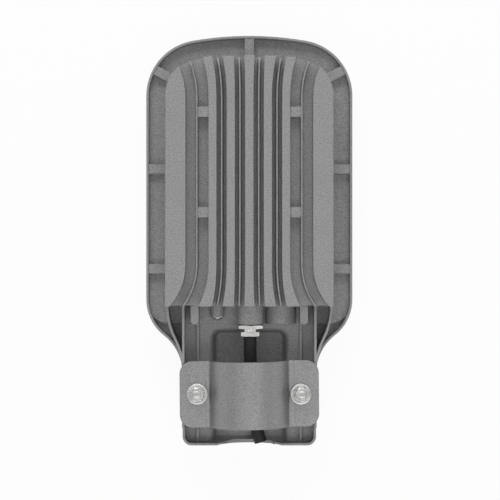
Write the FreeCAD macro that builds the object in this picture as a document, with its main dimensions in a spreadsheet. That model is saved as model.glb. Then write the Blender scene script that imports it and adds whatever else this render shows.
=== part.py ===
import FreeCAD, Part
import math
import os
import re
import Sketcher

# LED street light head: a finned die-cast housing with a pole trough at its tail.
# X is across the head, +Y points at the nose, +Z at the heatsink. The window faces z = 0.

V = FreeCAD.Vector
doc = FreeCAD.newDocument("StreetLightHead")
sheet = doc.addObject("Spreadsheet::Sheet", "Sizes")

# Driving dimensions in millimetres
SIZES = [
    # outer outline of the casting
    ("half_width", 77.3, "half the width of the head"),
    ("nose_y", 153.5, "foremost point of the nose"),
    ("nose_arc", 247.0, "radius of the nose edge"),
    ("corner_arc", 42.0, "radius of the nose corners"),
    ("ogee_start_y", -44.3, "where the sides leave the straight"),
    ("ogee_outer_arc", 34.0, "convex radius of the shoulder"),
    ("ogee_inner_arc", 37.0, "concave radius into the spigot"),
    ("spigot_half", 50.0, "half the width of the spigot"),
    ("tail_y", -153.5, "tail face"),
    ("tail_arc", 6.7, "radius of the tail corners"),
    # levels of the casting
    ("rim_top", 26.0, "top of the rim wall"),
    ("rim_wall", 1.9, "thickness of the rim wall"),
    ("pan_top", 19.0, "top of the pan floor"),
    ("pan_wall", 3.0, "thickness of the pan floor"),
    ("tail_floor", 15.0, "top of the low floor beside the trough"),
    ("platform_end", -62.6, "end face of the pan over the trough"),
    ("platform_arc", 15.0, "radius of the pan corners at its end"),
    ("end_wall", 3.0, "thickness of the end wall"),
    # heatsink block
    ("block_half", 61.9, "half the width of the heatsink block"),
    ("block_nose", 135.8, "foremost point of the block"),
    ("block_nose_arc", 400.0, "radius of the block's nose edge"),
    ("block_corner", 28.0, "radius of the block's nose corners"),
    ("block_tail", -48.7, "tail face of the block"),
    ("block_top", 51.0, "top of the ridges"),
    ("valley_floor", 40.0, "floor of the valleys"),
    ("block_wall", 3.2, "wall of the hollow block"),
    # valleys between the ridges: inner and outer side, and the radii of their flared ends
    ("narrow_in", 3.15, "inner valley, inner side"),
    ("narrow_out", 10.5, "inner valley, outer side"),
    ("narrow_flare", 650.0, "inner valley, radius of both ends"),
    ("middle_in", 16.7, "middle valley, inner side"),
    ("middle_out", 24.0, "middle valley, outer side"),
    ("middle_flare", 150.0, "middle valley, radius of both ends"),
    ("wide_in", 30.0, "outer valley, inner side"),
    ("wide_out", 46.8, "outer valley, outer side"),
    ("wide_in_tail", 66.0, "outer valley, inner radius at the tail"),
    ("wide_out_tail", 46.0, "outer valley, outer radius at the tail"),
    ("wide_in_nose", 98.0, "outer valley, inner radius at the nose"),
    ("wide_out_nose", 55.0, "outer valley, outer radius at the nose"),
    ("flare_tail_y", -18.0, "where the tail flare starts"),
    ("flare_nose_y", 105.0, "where the nose flare starts"),
    # thin fins that stand in the valleys
    ("fin_root", 2.4, "thickness of a thin fin at its root"),
    ("fin_tip", 1.15, "thickness of a thin fin at its top"),
    ("fin_top", 50.4, "top of the thin fins"),
    ("fin_ramp", 7.5, "length of the ramp at a fin's nose end"),
    ("fin_setback", 0.3, "how far the fins stop inside the block's outline"),
    ("fin_sink", 0.2, "how deep the fins reach into the valley floor"),
    ("narrow_fin", 6.9, "centre of the thin fin in the inner valley"),
    ("middle_fin", 20.35, "centre of the thin fin in the middle valley"),
    ("wide_fin", 38.6, "centre of the thin fin in the outer valley"),
    ("wide_fin_tail", 51.0, "outer valley fin, radius at the tail"),
    ("wide_fin_nose", 72.0, "outer valley fin, radius at the nose"),
    # bars across the outer valley, over the tray pillars
    ("bar_front_y", 94.5, "front bars"),
    ("bar_back_y", 20.6, "back bars"),
    ("bar_length", 7.7, "length of a bar along Y"),
    ("bar_top", 48.6, "top of the bars"),
    # ribs across the pan
    ("rib_width", 7.1, "width of a pan rib"),
    ("rib_top", 25.2, "top of the pan ribs"),
    ("rib_front_y", 53.6, "front side ribs"),
    ("rib_back_y", -21.3, "back side ribs"),
    ("rib_angle", 27.5, "slope of the corner ribs in degrees"),
    ("corner_rib_x", 64.5, "middle of a corner rib across"),
    ("corner_rib_y", 124.7, "middle of a corner rib along"),
    ("corner_rib_length", 14.7, "length of a corner rib"),
    # spigot and trough
    ("spigot_top", 38.0, "top of the spigot's side walls"),
    ("tail_top", 28.0, "top of the tail wall and of the side walls behind the clamp plate"),
    ("tail_step", 1.0, "from the clamp plate to the step in the side walls"),
    ("pole_z", 34.0, "height of the pole's axis"),
    ("notch_radius", 24.5, "radius of the pole notch"),
    ("trough_floor", 17.5, "shoulders of the trough"),
    ("groove_floor", 5.0, "floor of the groove under the pole"),
    ("groove_draft", 12.0, "slope of the groove's sides in degrees"),
    ("groove_half", 28.0, "half the width of the groove"),
    ("groove_start", -67.4, "front end of the groove"),
    ("groove_arc", 6.0, "radius of the groove's front corners"),
    ("web_in", 37.6, "inner side of the long webs"),
    ("web_out", 40.0, "outer side of the long webs"),
    ("web_top", 20.3, "top of the long webs"),
    ("buttress_out", 43.7, "outer side of the buttresses"),
    ("buttress_top", 37.0, "top of the buttresses"),
    ("swan_start", 60.9, "centre line of the swan wall at the block"),
    ("swan_arc", 55.0, "radius of the swan wall"),
    ("swan_wall", 1.8, "thickness of the swan wall"),
    ("underside_web", 3.0, "wall left round the hollows under the trough"),
    # bosses on the pan
    ("gland_x", 0.6, "axis of the cable gland"),
    ("gland_z", 29.0, "height of the gland axis"),
    ("gland_boss", 9.8, "radius of the gland boss"),
    ("gland_thread", 6.0, "radius of the gland thread"),
    ("gland_tunnel", 7.2, "radius of the cable tunnel behind the gland"),
    ("plain_boss_x", 23.6, "plain boss beside the gland"),
    ("plain_boss", 11.3, "radius of the plain boss"),
    ("plain_boss_z", 20.5, "height of its centre"),
    ("earth_x", -24.0, "axis of the earth screw boss"),
    ("earth_z", 24.6, "height of the earth screw"),
    ("earth_boss", 5.2, "radius of the earth screw boss"),
    ("earth_face", -57.1, "end face of the earth screw boss"),
    ("earth_radius", 2.0, "radius of the earth screw"),
    ("earth_depth", 7.0, "how deep the earth screw goes into its boss"),
    ("earth_head", 3.4, "radius of its head"),
    ("earth_head_height", 1.5, "height of its head"),
    ("earth_disc", 4.0, "radius of its toothed washer"),
    ("earth_disc_height", 0.8, "thickness of its toothed washer"),
    ("screw_play", 0.2, "play of the small screws in plain holes"),
    ("head_play", 0.3, "play round a sunk screw head"),
    ("tap_depth", 1.0, "how much deeper a tapped hole is than its screw"),
    # underside
    ("window_inset", 11.3, "edge of the window in from the outline"),
    ("window_tail", -51.5, "tail edge of the window"),
    ("window_arc", 9.0, "radius of the window's tail corners"),
    ("seat_level", 6.5, "height of the window seat"),
    ("seat_width", 3.5, "width of the seat wall"),
    ("pillar_radius", 4.5, "radius of the tray pillars"),
    ("pillar_x", 34.2, "tray pillars from the centre line"),
    ("pillar_tail_x", 50.0, "tail pillars from the centre line"),
    ("pillar_tail_y", -36.0, "tail pillars along Y"),
    # clamp plate and its screws
    ("clamp_y", -113.7, "centre of the clamp plate"),
    ("clamp_width", 49.2, "width of the clamp plate along Y"),
    ("clamp_half", 51.6, "half the span of the clamp plate"),
    ("clamp_sheet", 3.0, "thickness of the clamp plate"),
    ("clamp_arc", 28.5, "inner radius of its bend round the pole"),
    ("clamp_drop", 8.5, "centre of that bend below the ears"),
    ("clamp_bend", 1.5, "inner radius where the ears turn up"),
    ("clamp_corner", 9.6, "radius of the plate's corners"),
    ("bolt_x", 38.5, "clamp screws from the centre line"),
    ("bolt_radius", 3.0, "radius of the clamp screws"),
    ("bolt_length", 32.0, "length under the head"),
    ("bolt_head", 10.0, "width across flats of the head"),
    ("bolt_head_height", 4.0, "height of the head"),
    ("bolt_boss", 7.0, "radius of the tapped boss"),
    ("bolt_play", 0.4, "play of washers and plate round the screw"),
    ("spring_outer", 5.9, "outer radius of the spring washer"),
    ("spring_height", 1.6, "height of the spring washer"),
    ("spring_slit", 0.7, "width of its slit"),
    ("washer_outer", 8.0, "outer radius of the flat washer"),
    ("washer_height", 1.5, "thickness of the flat washer"),
    # cable gland
    ("gland_gasket", 0.6, "thickness of the gland's flat seal"),
    ("gasket_inset", 0.4, "how far it stays inside the hexagon"),
    ("gland_hex", 18.4, "across flats of the gland body"),
    ("gland_flange", 2.8, "thickness of the gland's hexagon"),
    ("gland_neck", 5.6, "radius of the gland's neck"),
    ("gland_neck_length", 4.2, "length of the neck"),
    ("gland_nut_hex", 13.7, "across flats of the gland nut"),
    ("gland_nut_height", 4.0, "height of the gland nut"),
    ("gland_nut_gap", 2.1, "gap between hexagon and nut"),
    ("gland_nut_end", 1.1, "end wall of the gland nut"),
    ("seal_play", 0.1, "play of the rubber ring in the nut"),
    ("gland_tail", 8.6, "length of the thread behind the hexagon"),
    ("cable_radius", 4.75, "radius of the mains cable"),
    ("cable_play", 0.2, "play between cable and gland"),
    ("sheath_end", -43.0, "inner end of the cable's sheath"),
    ("core_radius", 1.2, "radius of a cable core"),
    ("core_pitch", 3.0, "spacing of the cable cores"),
    # window
    ("frame_play", 0.4, "gap between window frame and casting"),
    ("frame_bottom", 0.5, "underside of the window frame"),
    ("frame_lip", 1.5, "thickness of the lip under the glass"),
    ("frame_cover", 9.0, "how far the lip covers the glass"),
    ("glass_play", 0.3, "gap round the glass"),
    ("glass_thickness", 3.0, "thickness of the window glass"),
    ("frame_screw_side", 6.6, "frame screws in from the outline"),
    ("side_screw_y", 22.0, "middle one of the frame screws at each side"),
    ("side_screw_pitch", 52.0, "spacing of the frame screws at each side"),
    ("end_screw_x", 30.0, "frame screws of the tail edge from the centre line"),
    ("nose_screw_x", 26.0, "frame screws of the nose edge from the centre line"),
    ("nose_screw_drop", 1.2, "how much further in the nose screws are, for the curve of the nose"),
    ("frame_screw_radius", 1.5, "radius of the frame screws"),
    ("frame_screw_head", 2.9, "radius of their heads"),
    ("frame_screw_head_height", 1.8, "height of their heads"),
    ("frame_screw_sink", 0.2, "how deep their heads are sunk in the frame"),
    ("frame_screw_length", 10.0, "length of the frame screws under the head"),
    ("frame_boss", 3.7, "radius of the screw bosses"),
    # light engine
    ("tray_thickness", 3.0, "thickness of the gear tray"),
    ("tray_play", 0.8, "gap between tray and seat wall"),
    ("tray_arc", 4.0, "radius of the tray's tail corners"),
    ("tray_screw_radius", 2.0, "radius of the tray screws"),
    ("tray_screw_head", 3.5, "radius of their heads"),
    ("tray_screw_head_height", 2.2, "height of their heads"),
    ("tray_screw_length", 12.0, "length of the tray screws under the head"),
    ("board_half", 46.0, "half the width of the LED board"),
    ("board_tail", -34.0, "tail edge of the LED board"),
    ("board_nose", 124.0, "nose edge of the LED board"),
    ("board_thickness", 1.6, "thickness of the LED board"),
    ("board_arc", 3.0, "radius of its corners"),
    ("board_play", 0.5, "play round the tray screws' heads"),
    ("led_size", 3.5, "side of an LED package"),
    ("led_height", 0.8, "height of an LED package"),
    ("lens_plate", 1.4, "thickness of the lens sheet"),
    ("lens_root", 4.8, "radius of a lens at the sheet"),
    ("lens_tip", 2.7, "radius of a lens at its top"),
    ("lens_rise", 2.9, "rise of a lens"),
    ("lens_pitch_x", 22.0, "spacing of the lenses across"),
    ("lens_pitch_y", 18.5, "spacing of the lenses along"),
    ("lens_margin", 2.0, "lens sheet in from the board's edge"),
    ("board_screw_inset", 6.0, "board screws in from the board's ends"),
    ("board_screw_bite", 2.6, "how far the board screws go into the tray"),
    ("board_screw_radius", 1.5, "radius of the board screws"),
    ("board_screw_head", 2.7, "radius of their heads"),
    ("board_screw_head_height", 1.6, "height of their heads"),
    # driver
    ("driver_half", 21.0, "half the width of the driver"),
    ("driver_tail", -14.0, "tail end of the driver"),
    ("driver_nose", 92.0, "nose end of the driver"),
    ("driver_height", 19.0, "height of the driver"),
    ("driver_foot", 7.0, "length of the driver's feet"),
    ("driver_foot_height", 1.5, "thickness of the driver's feet"),
    ("driver_screw_radius", 1.5, "radius of the driver's screws"),
    ("driver_screw_short", 0.5, "how far they stop above the tray's underside"),
    ("driver_screw_head", 3.0, "radius of their heads"),
    ("driver_screw_head_height", 2.0, "height of their heads"),
    ("terminal_half", 13.0, "half the width of the terminal block"),
    ("terminal_tail", -37.0, "tail face of the terminal block"),
    ("terminal_length", 12.0, "length of the terminal block"),
    ("terminal_height", 16.5, "height of the terminal block"),
    ("lead_radius", 1.0, "radius of the driver's leads"),
    ("lead_pitch", 3.6, "spacing of the two leads to the LED board"),
    ("lead_opening", 4.0, "radius of the opening that they pass in the tray"),
    ("lead_inset", 10.0, "from the driver's nose end back to the leads"),
]

for row, (alias, value, note) in enumerate(SIZES, start=1):
    sheet.set("A%d" % row, note)
    sheet.set("B%d" % row, str(value))
    sheet.setAlias("B%d" % row, alias)
doc.recompute()

ALIASES = {alias for alias, value, note in SIZES}


def tied(text):
    """Puts the sheet's name before each size in a formula."""
    return re.sub(r"[a-z_]+", lambda m: "Sizes." + m.group() if m.group() in ALIASES else m.group(), text)


def worth(text):
    """The number that a formula of sizes gives now."""
    value = sheet.evalExpression(tied(text))
    return float(getattr(value, "Value", value))


def bind(obj, **formulas):
    """Binds properties of an object to formulas; a double underscore stands for a dot."""
    for prop, text in formulas.items():
        obj.setExpression(prop.replace("__", "."), tied(text))
    return obj


def neg(text):
    return "0" if text == "0" else "-(%s)" % text


def mirrored(half, tail_edge=None, nose_edge=None):
    """Closes a right-hand half outline, nose to tail, with its mirror image.
    A point is (x, y) or (x, y, radius, turn), where the last two bend the edge that follows it."""
    points = [p[:2] for p in half]
    bends = [p[2:] for p in half]
    bends[-1] = tail_edge or ()
    left = [(neg(x), y) for x, y in reversed(points)]
    left_bends = list(reversed(bends[:-1])) + [nose_edge or ()]
    return [p + tuple(b) for p, b in zip(points + left, bends + left_bends)]


def box(x0, x1, y0, y1):
    return [(x0, y0), (x1, y0), (x1, y1), (x0, y1)]


def flipped(loop):
    """The mirror image of a loop at X = 0."""
    points = [(neg(p[0]), p[1]) for p in reversed(loop)]
    bends = [p[2:] for p in reversed(loop)]
    bends = bends[1:] + bends[:1]
    return [p + tuple(b) for p, b in zip(points, bends)]


def draw(sketch, loops):
    """Draws closed loops of lines and arcs, each corner and radius bound to the sheet.
    A loop is a list of points, or (x, y, radius) of strings for a full circle."""
    shapes, rules, formulas = [], [], []

    def rule(formula, *details):
        if formula is not None:
            formulas.append((len(rules), formula))
            details += (worth(formula),)
        rules.append(Sketcher.Constraint(*details))

    def pin(geo, pos, x, y):
        for kind, axis, text in (("DistanceX", -2, x), ("DistanceY", -1, y)):
            if text == "0":
                rule(None, "PointOnObject", geo, pos, axis)
            else:
                rule(text, kind, -1, 1, geo, pos)

    for loop in loops:
        if isinstance(loop, tuple):
            x, y, radius = loop
            shapes.append(Part.Circle(V(worth(x), worth(y), 0), V(0, 0, 1), worth(radius)))
            rule(radius, "Radius", len(shapes) - 1)
            pin(len(shapes) - 1, 3, x, y)
            continue
        corners = [V(worth(p[0]), worth(p[1]), 0) for p in loop]
        ends = []
        for index, point in enumerate(loop):
            start = corners[index]
            end = corners[(index + 1) % len(loop)]
            if len(point) == 2:
                shapes.append(Part.LineSegment(start, end))
                ends.append((len(shapes) - 1, 1, 2))
                continue
            radius, turn = point[2:]
            side = 1 if turn == "left" else -1
            chord = end - start
            rise = math.sqrt(worth(radius) ** 2 - chord.Length ** 2 / 4)
            centre = (start + end) * 0.5 + V(-chord.y, chord.x, 0).normalize() * side * rise
            first, last = (start, end) if side > 0 else (end, start)
            angles = [math.atan2(p.y - centre.y, p.x - centre.x) for p in (first, last)]
            if angles[1] < angles[0]:
                angles[1] += 2 * math.pi
            shapes.append(Part.ArcOfCircle(Part.Circle(centre, V(0, 0, 1), worth(radius)), *angles))
            rule(radius, "Radius", len(shapes) - 1)
            ends.append((len(shapes) - 1, 1, 2) if side > 0 else (len(shapes) - 1, 2, 1))
        for index, (geo, first, last) in enumerate(ends):
            previous = ends[index - 1]
            rule(None, "Coincident", previous[0], previous[2], geo, first)
            pin(geo, first, loop[index][0], loop[index][1])
    sketch.addGeometry(shapes, False)
    sketch.addConstraint(rules)
    for index, formula in formulas:
        sketch.setExpression("Constraints[%d]" % index, tied(formula))


def sketch_on(body, name, plane, lift, loops):
    """A sketch on one of the body's origin planes, lifted along that plane's normal."""
    sketch = body.newObject("Sketcher::SketchObject", name)
    role = {"XY": "XY_Plane", "XZ": "XZ_Plane", "YZ": "YZ_Plane"}[plane]
    base = [f for f in body.Origin.OriginFeatures if f.Role == role][0]
    sketch.AttachmentSupport = [(base, "")]
    sketch.MapMode = "FlatFace"
    sketch.setExpression("AttachmentOffset.Base.z", tied(lift))
    draw(sketch, loops)
    return sketch


def pad(body, name, loops, low, high, plane="XY"):
    """Adds material between two levels. On the XZ plane the levels are values of -Y."""
    feature = body.newObject("PartDesign::Pad", name)
    feature.Profile = sketch_on(body, name + "_sketch", plane, low, loops)
    bind(feature, Length="(%s) - (%s)" % (high, low))
    feature.Refine = False
    body.Tip = feature
    return feature


def pocket(body, name, loops, low, high, plane="XY"):
    """Cuts away what lies between two levels. On the XZ plane the levels are values of -Y."""
    feature = body.newObject("PartDesign::Pocket", name)
    feature.Profile = sketch_on(body, name + "_sketch", plane, high, loops)
    bind(feature, Length="(%s) - (%s)" % (high, low))
    feature.Refine = False
    body.Tip = feature
    return feature


def round_edges(body, name, wanted, radius):
    """Rounds the edges of a body that a test picks. The body has to be computed first."""
    base = body.Tip
    names = ["Edge%d" % number for number, edge in enumerate(base.Shape.Edges, start=1) if wanted(edge)]
    if not names:
        raise SystemExit("no edge for " + name)
    feature = body.newObject("PartDesign::Fillet", name)
    feature.Base = (base, names)
    bind(feature, Radius=radius)
    body.Tip = feature
    return feature


def new_body(name):
    body = doc.addObject("PartDesign::Body", name)
    body.Label = name
    return body


def cylinder(name, radius, height, x="0", y="0", z="0", along="Z"):
    """A cylinder whose first end is centred at x, y, z."""
    tool = doc.addObject("Part::Cylinder", name)
    turn = {"Z": (V(0, 0, 1), 0), "X": (V(0, 1, 0), 90), "Y": (V(1, 0, 0), -90), "-Y": (V(1, 0, 0), 90)}
    tool.Placement = FreeCAD.Placement(V(), FreeCAD.Rotation(*turn[along]))
    bind(tool, Radius=radius, Height=height)
    return move(tool, x, y, z)


def prism(name, flats, height, x="0", y="0", z="0", along="Z"):
    """A hexagonal prism, with a corner at its top where it lies along Y."""
    tool = doc.addObject("Part::Prism", name)
    tool.Polygon = 6
    turn = {"Z": FreeCAD.Rotation(V(0, 0, 1), 0),
            "-Y": FreeCAD.Rotation(V(1, 0, 0), 90) * FreeCAD.Rotation(V(0, 0, 1), 90)}
    tool.Placement = FreeCAD.Placement(V(), turn[along])
    bind(tool, Circumradius="(%s) / sqrt(3)" % flats, Height=height)
    return move(tool, x, y, z)


def block(name, x0, x1, y0, y1, z0, z1):
    tool = doc.addObject("Part::Box", name)
    bind(tool, Length="(%s) - (%s)" % (x1, x0), Width="(%s) - (%s)" % (y1, y0),
         Height="(%s) - (%s)" % (z1, z0))
    return move(tool, x0, y0, z0)


def move(obj, x="0", y="0", z="0"):
    return bind(obj, Placement__Base__x=x, Placement__Base__y=y, Placement__Base__z=z)


def fuse(name, shapes):
    joined = doc.addObject("Part::MultiFuse", name)
    joined.Shapes = shapes
    joined.Refine = True
    return joined


def cut(name, base, tools):
    tool = tools[0] if len(tools) == 1 else fuse(name + "_tools", tools)
    result = doc.addObject("Part::Cut", name)
    result.Base = base
    result.Tool = tool
    return result


def group(name, shapes):
    """Identical pieces as separate solids under one name."""
    bundle = doc.addObject("Part::Compound", name)
    bundle.Links = shapes
    return bundle


nodes = []


def keep(name, obj):
    """Names a finished piece of the head."""
    obj.Label = name
    nodes.append((name, obj))
    return obj


# Outlines

NOSE_CENTRE = "(nose_y - nose_arc)"
CORNER_X = "(half_width - corner_arc)"
CORNER_RISE = "sqrt((nose_arc - corner_arc)^2 - (half_width - corner_arc)^2)"
OGEE_DROP = ("sqrt((ogee_outer_arc + ogee_inner_arc)^2"
             " - (ogee_outer_arc + ogee_inner_arc - half_width + spigot_half)^2)")


def nose_points(inset):
    """The nose corner of the outline, moved in by inset: its two arc ends."""
    share = "(nose_arc - (%s)) / (nose_arc - corner_arc)" % inset
    return [("%s * %s" % (CORNER_X, share), "%s + %s * %s" % (NOSE_CENTRE, CORNER_RISE, share),
             "corner_arc - (%s)" % inset, "right"),
            ("half_width - (%s)" % inset, "%s + %s" % (NOSE_CENTRE, CORNER_RISE))]


def nose_edge(inset):
    return ("nose_arc - (%s)" % inset, "right")


def outline(inset):
    """The whole outer outline, moved in by inset."""
    share = "(ogee_outer_arc - (%s)) / (ogee_outer_arc + ogee_inner_arc)" % inset
    across = "(ogee_outer_arc + ogee_inner_arc - half_width + spigot_half)"
    side = "half_width - (%s)" % inset
    spigot = "spigot_half - (%s)" % inset
    half = nose_points(inset) + [
        (side, "ogee_start_y", "ogee_outer_arc - (%s)" % inset, "right"),
        ("half_width - ogee_outer_arc + %s * %s" % (across, share),
         "ogee_start_y - %s * %s" % (OGEE_DROP, share), "ogee_inner_arc + (%s)" % inset, "left"),
        (spigot, "ogee_start_y - %s" % OGEE_DROP),
        (spigot, "tail_y + tail_arc", "tail_arc - (%s)" % inset, "right"),
        ("spigot_half - tail_arc", "tail_y + (%s)" % inset)]
    return mirrored(half, None, nose_edge(inset))


def window(inset, tail, arc):
    """The outline's nose end, closed by a straight tail edge with rounded corners."""
    side = "half_width - (%s)" % inset
    half = nose_points(inset) + [(side, "(%s) + (%s)" % (tail, arc), arc, "right"),
                                 ("%s - (%s)" % (side, arc), tail)]
    return mirrored(half, None, nose_edge(inset))


def block_outline(inset, arc=None):
    """The heatsink block's outline, moved in by inset."""
    centre = "(block_nose - block_nose_arc)"
    rise = "sqrt((block_nose_arc - block_corner)^2 - (block_half - block_corner)^2)"
    share = "(block_nose_arc - (%s)) / (block_nose_arc - block_corner)" % inset
    side = "block_half - (%s)" % inset
    tail = "block_tail + (%s)" % inset
    half = [("(block_half - block_corner) * %s" % share, "%s + %s * %s" % (centre, rise, share),
             "block_corner - (%s)" % inset, "right"),
            (side, "%s + %s" % (centre, rise))]
    if arc:
        half += [(side, "%s + (%s)" % (tail, arc), arc, "right"), ("%s - (%s)" % (side, arc), tail)]
    else:
        half += [(side, tail)]
    return mirrored(half, None, ("block_nose_arc - (%s)" % inset, "right"))


def flared(inner, outer, nose_in, nose_out, tail_in, tail_out):
    """A groove or fin along Y whose two ends curve outwards, past both ends of the block."""
    nose_end = "(block_nose + block_wall)"
    tail_end = "(block_tail - block_wall)"

    def reach(x, arc, end, start):
        return "%s + %s - sqrt((%s)^2 - (%s - %s)^2)" % (x, arc, arc, end, start)

    return [(reach(inner, tail_in, tail_end, "flare_tail_y"), tail_end),
            (reach(outer, tail_out, tail_end, "flare_tail_y"), tail_end, tail_out, "right"),
            (outer, "flare_tail_y"),
            (outer, "flare_nose_y", nose_out, "right"),
            (reach(outer, nose_out, nose_end, "flare_nose_y"), nose_end),
            (reach(inner, nose_in, nose_end, "flare_nose_y"), nose_end, nose_in, "left"),
            (inner, "flare_nose_y"),
            (inner, "flare_tail_y", tail_in, "left")]


def both(loop):
    return [loop, flipped(loop)]


# Housing, one aluminium casting

housing = new_body("casting")

pad(housing, "skirt", [outline("0")], "0", "rim_top")
pocket(housing, "pan_space", [outline("rim_wall")], "tail_floor", "rim_top")
pad(housing, "platform", [window("rim_wall / 2", "platform_end", "platform_arc")], "0", "pan_top")
pad(housing, "heatsink", [block_outline("0")], "pan_top - pan_wall", "block_top")

valleys = [
    flared("narrow_in", "narrow_out", "narrow_flare", "narrow_flare", "narrow_flare", "narrow_flare"),
    flared("middle_in", "middle_out", "middle_flare", "middle_flare", "middle_flare", "middle_flare"),
    flared("wide_in", "wide_out", "wide_in_nose", "wide_out_nose", "wide_in_tail", "wide_out_tail")]
pocket(housing, "valleys", [loop for valley in valleys for loop in both(valley)],
       "valley_floor", "block_top")

bars = []
for bar_y in ("bar_front_y", "bar_back_y"):
    bars += both(box("wide_in - 1", "wide_fin", bar_y + " - bar_length / 2", bar_y + " + bar_length / 2"))
pad(housing, "cross_bars", bars, "valley_floor - 1", "bar_top")

# Ribs that brace the pan between rim and block
ribs = [box("-rib_width / 2", "rib_width / 2", "block_nose - 2", "nose_y - rim_wall / 2")]
for rib_y in ("rib_front_y", "rib_back_y"):
    ribs += both(box("block_half - 2", "half_width - rim_wall / 2",
                     rib_y + " - rib_width / 2", rib_y + " + rib_width / 2"))


def corner_rib():
    """A slanted rib from the block's corner to the corner of the rim."""
    corners = []
    for along, across in ((-1, -1), (1, -1), (1, 1), (-1, 1)):
        corners.append((
            "corner_rib_x + %d * corner_rib_length / 2 * cos(rib_angle * 1 deg)"
            " - %d * rib_width / 2 * sin(rib_angle * 1 deg)" % (along, across),
            "corner_rib_y + %d * corner_rib_length / 2 * sin(rib_angle * 1 deg)"
            " + %d * rib_width / 2 * cos(rib_angle * 1 deg)" % (along, across)))
    return corners


pad(housing, "pan_ribs", ribs + both(corner_rib()), "pan_top - 1", "rib_top")

# Spigot: a trough with side walls, a lower tail wall and a groove for the pole
pad(housing, "spigot", [mirrored([
    ("spigot_half", "block_tail + 1"),
    ("spigot_half", "tail_y + tail_arc", "tail_arc", "right"),
    ("spigot_half - tail_arc", "tail_y")])], "0", "spigot_top")
pocket(housing, "pan_end_space",
       [box("-(spigot_half - rim_wall)", "spigot_half - rim_wall", "platform_end", "block_tail")],
       "pan_top", "spigot_top")
pocket(housing, "trough", [mirrored([
    ("spigot_half - rim_wall", "platform_end"),
    ("spigot_half - rim_wall", "tail_y + tail_arc", "tail_arc - rim_wall", "right"),
    ("spigot_half - tail_arc", "tail_y + rim_wall")])], "trough_floor", "spigot_top")
groove = pocket(housing, "pole_groove", [mirrored([
    ("groove_half - groove_arc", "groove_start", "groove_arc", "right"),
    ("groove_half", "groove_start - groove_arc"),
    ("groove_half", "tail_y + rim_wall")])], "groove_floor", "trough_floor")
bind(groove, TaperAngle="-groove_draft")


def side_hollow():
    """What lies under the low floor at one side of the groove, inside the outline."""
    side = outline("underside_web")
    front = "(platform_end - underside_web)"
    start = ("half_width - ogee_outer_arc"
             " + sqrt((ogee_outer_arc - underside_web)^2 - (%s - ogee_start_y)^2)" % front)
    groove_side = "groove_half + underside_web"
    return [(groove_side, front), (start, front) + side[2][2:]] + side[3:6] + [
        side[6][:2], (groove_side, side[6][1])]


pocket(housing, "side_hollows", both(side_hollow()), "0", "tail_floor - pan_wall")
pocket(housing, "trough_hollows",
       both(box("groove_half + underside_web", "spigot_half - underside_web",
                "tail_y + tail_arc", "platform_end - underside_web")),
       "0", "trough_floor - pan_wall")


def swan_wall():
    """The wall that swings from the block's corner into the spigot's side."""
    reach = "(swan_start - spigot_half + swan_wall / 2)"
    drop = "sqrt((2 * swan_arc)^2 - (2 * swan_arc - %s)^2)" % reach
    tail = "block_tail - %s" % drop

    def middle(side):
        share = "(swan_arc + (%s)) / (2 * swan_arc)" % side
        return ("swan_start - swan_arc + (2 * swan_arc - %s) * %s" % (reach, share),
                "block_tail - %s * %s" % (drop, share))

    return [("swan_start + swan_wall / 2", "block_tail + 1"),
            ("swan_start + swan_wall / 2", "block_tail", "swan_arc + swan_wall / 2", "right"),
            middle("swan_wall / 2") + ("swan_arc - swan_wall / 2", "left"),
            ("spigot_half", tail),
            ("spigot_half - swan_wall", tail, "swan_arc + swan_wall / 2", "right"),
            middle("-swan_wall / 2") + ("swan_arc - swan_wall / 2", "left"),
            ("swan_start - swan_wall / 2", "block_tail"),
            ("swan_start - swan_wall / 2", "block_tail + 1")]


pad(housing, "swan_walls", both(swan_wall()), "tail_floor - 1", "spigot_top")
pad(housing, "bolt_bosses",
    [("bolt_x", "clamp_y", "bolt_boss"), ("-bolt_x", "clamp_y", "bolt_boss")], "0", "spigot_top")
pad(housing, "long_webs", both(box("web_in", "web_out", "tail_y + rim_wall / 2", "platform_end + 1")),
    "trough_floor - 1", "web_top")
pad(housing, "buttresses", both([
    ("web_in", "platform_end + 2"), ("web_in + 2", "platform_end"),
    ("buttress_out - 2", "platform_end"), ("buttress_out", "platform_end + 2"),
    ("buttress_out", "block_tail + 1"), ("web_in", "block_tail + 1")]), "pan_top - 1", "buttress_top")


def end_boss(name, x, z, radius, face):
    """A boss along Y on the pan, round on top and upright at the sides."""
    pad(housing, name, [(x, z, radius)], "-block_tail - 1", face, "XZ")
    pad(housing, name + "_foot", [box("%s - %s" % (x, radius), "%s + %s" % (x, radius), "pan_top - 1", z)],
        "-block_tail - 1", face, "XZ")


end_boss("gland_boss", "gland_x", "gland_z", "gland_boss", "-platform_end")
end_boss("plain_boss", "plain_boss_x", "plain_boss_z", "plain_boss", "-platform_end")
end_boss("earth_boss", "earth_x", "earth_z", "earth_boss", "-earth_face")
pocket(housing, "low_tail_wall",
       [box("-spigot_half - 1", "spigot_half + 1", "tail_y - 1", "clamp_y - clamp_width / 2 - tail_step")],
       "tail_top", "spigot_top")
pocket(housing, "pole_notch", [("0", "pole_z", "notch_radius")],
       "-tail_y - rim_wall - 1", "-tail_y + 1", "XZ")

# Underside: the space behind the window, its seat, and the hollow of the block
CEILING = "(pan_top - pan_wall)"
pocket(housing, "window_space", [window("rim_wall", "platform_end + end_wall", "window_arc")],
       "0", CEILING)
pad(housing, "window_seat", [window("window_inset", "window_tail", "window_arc"),
                             window("window_inset + seat_width", "window_tail + seat_width",
                                    "window_arc - seat_width")], "seat_level", CEILING + " + 1")

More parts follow.
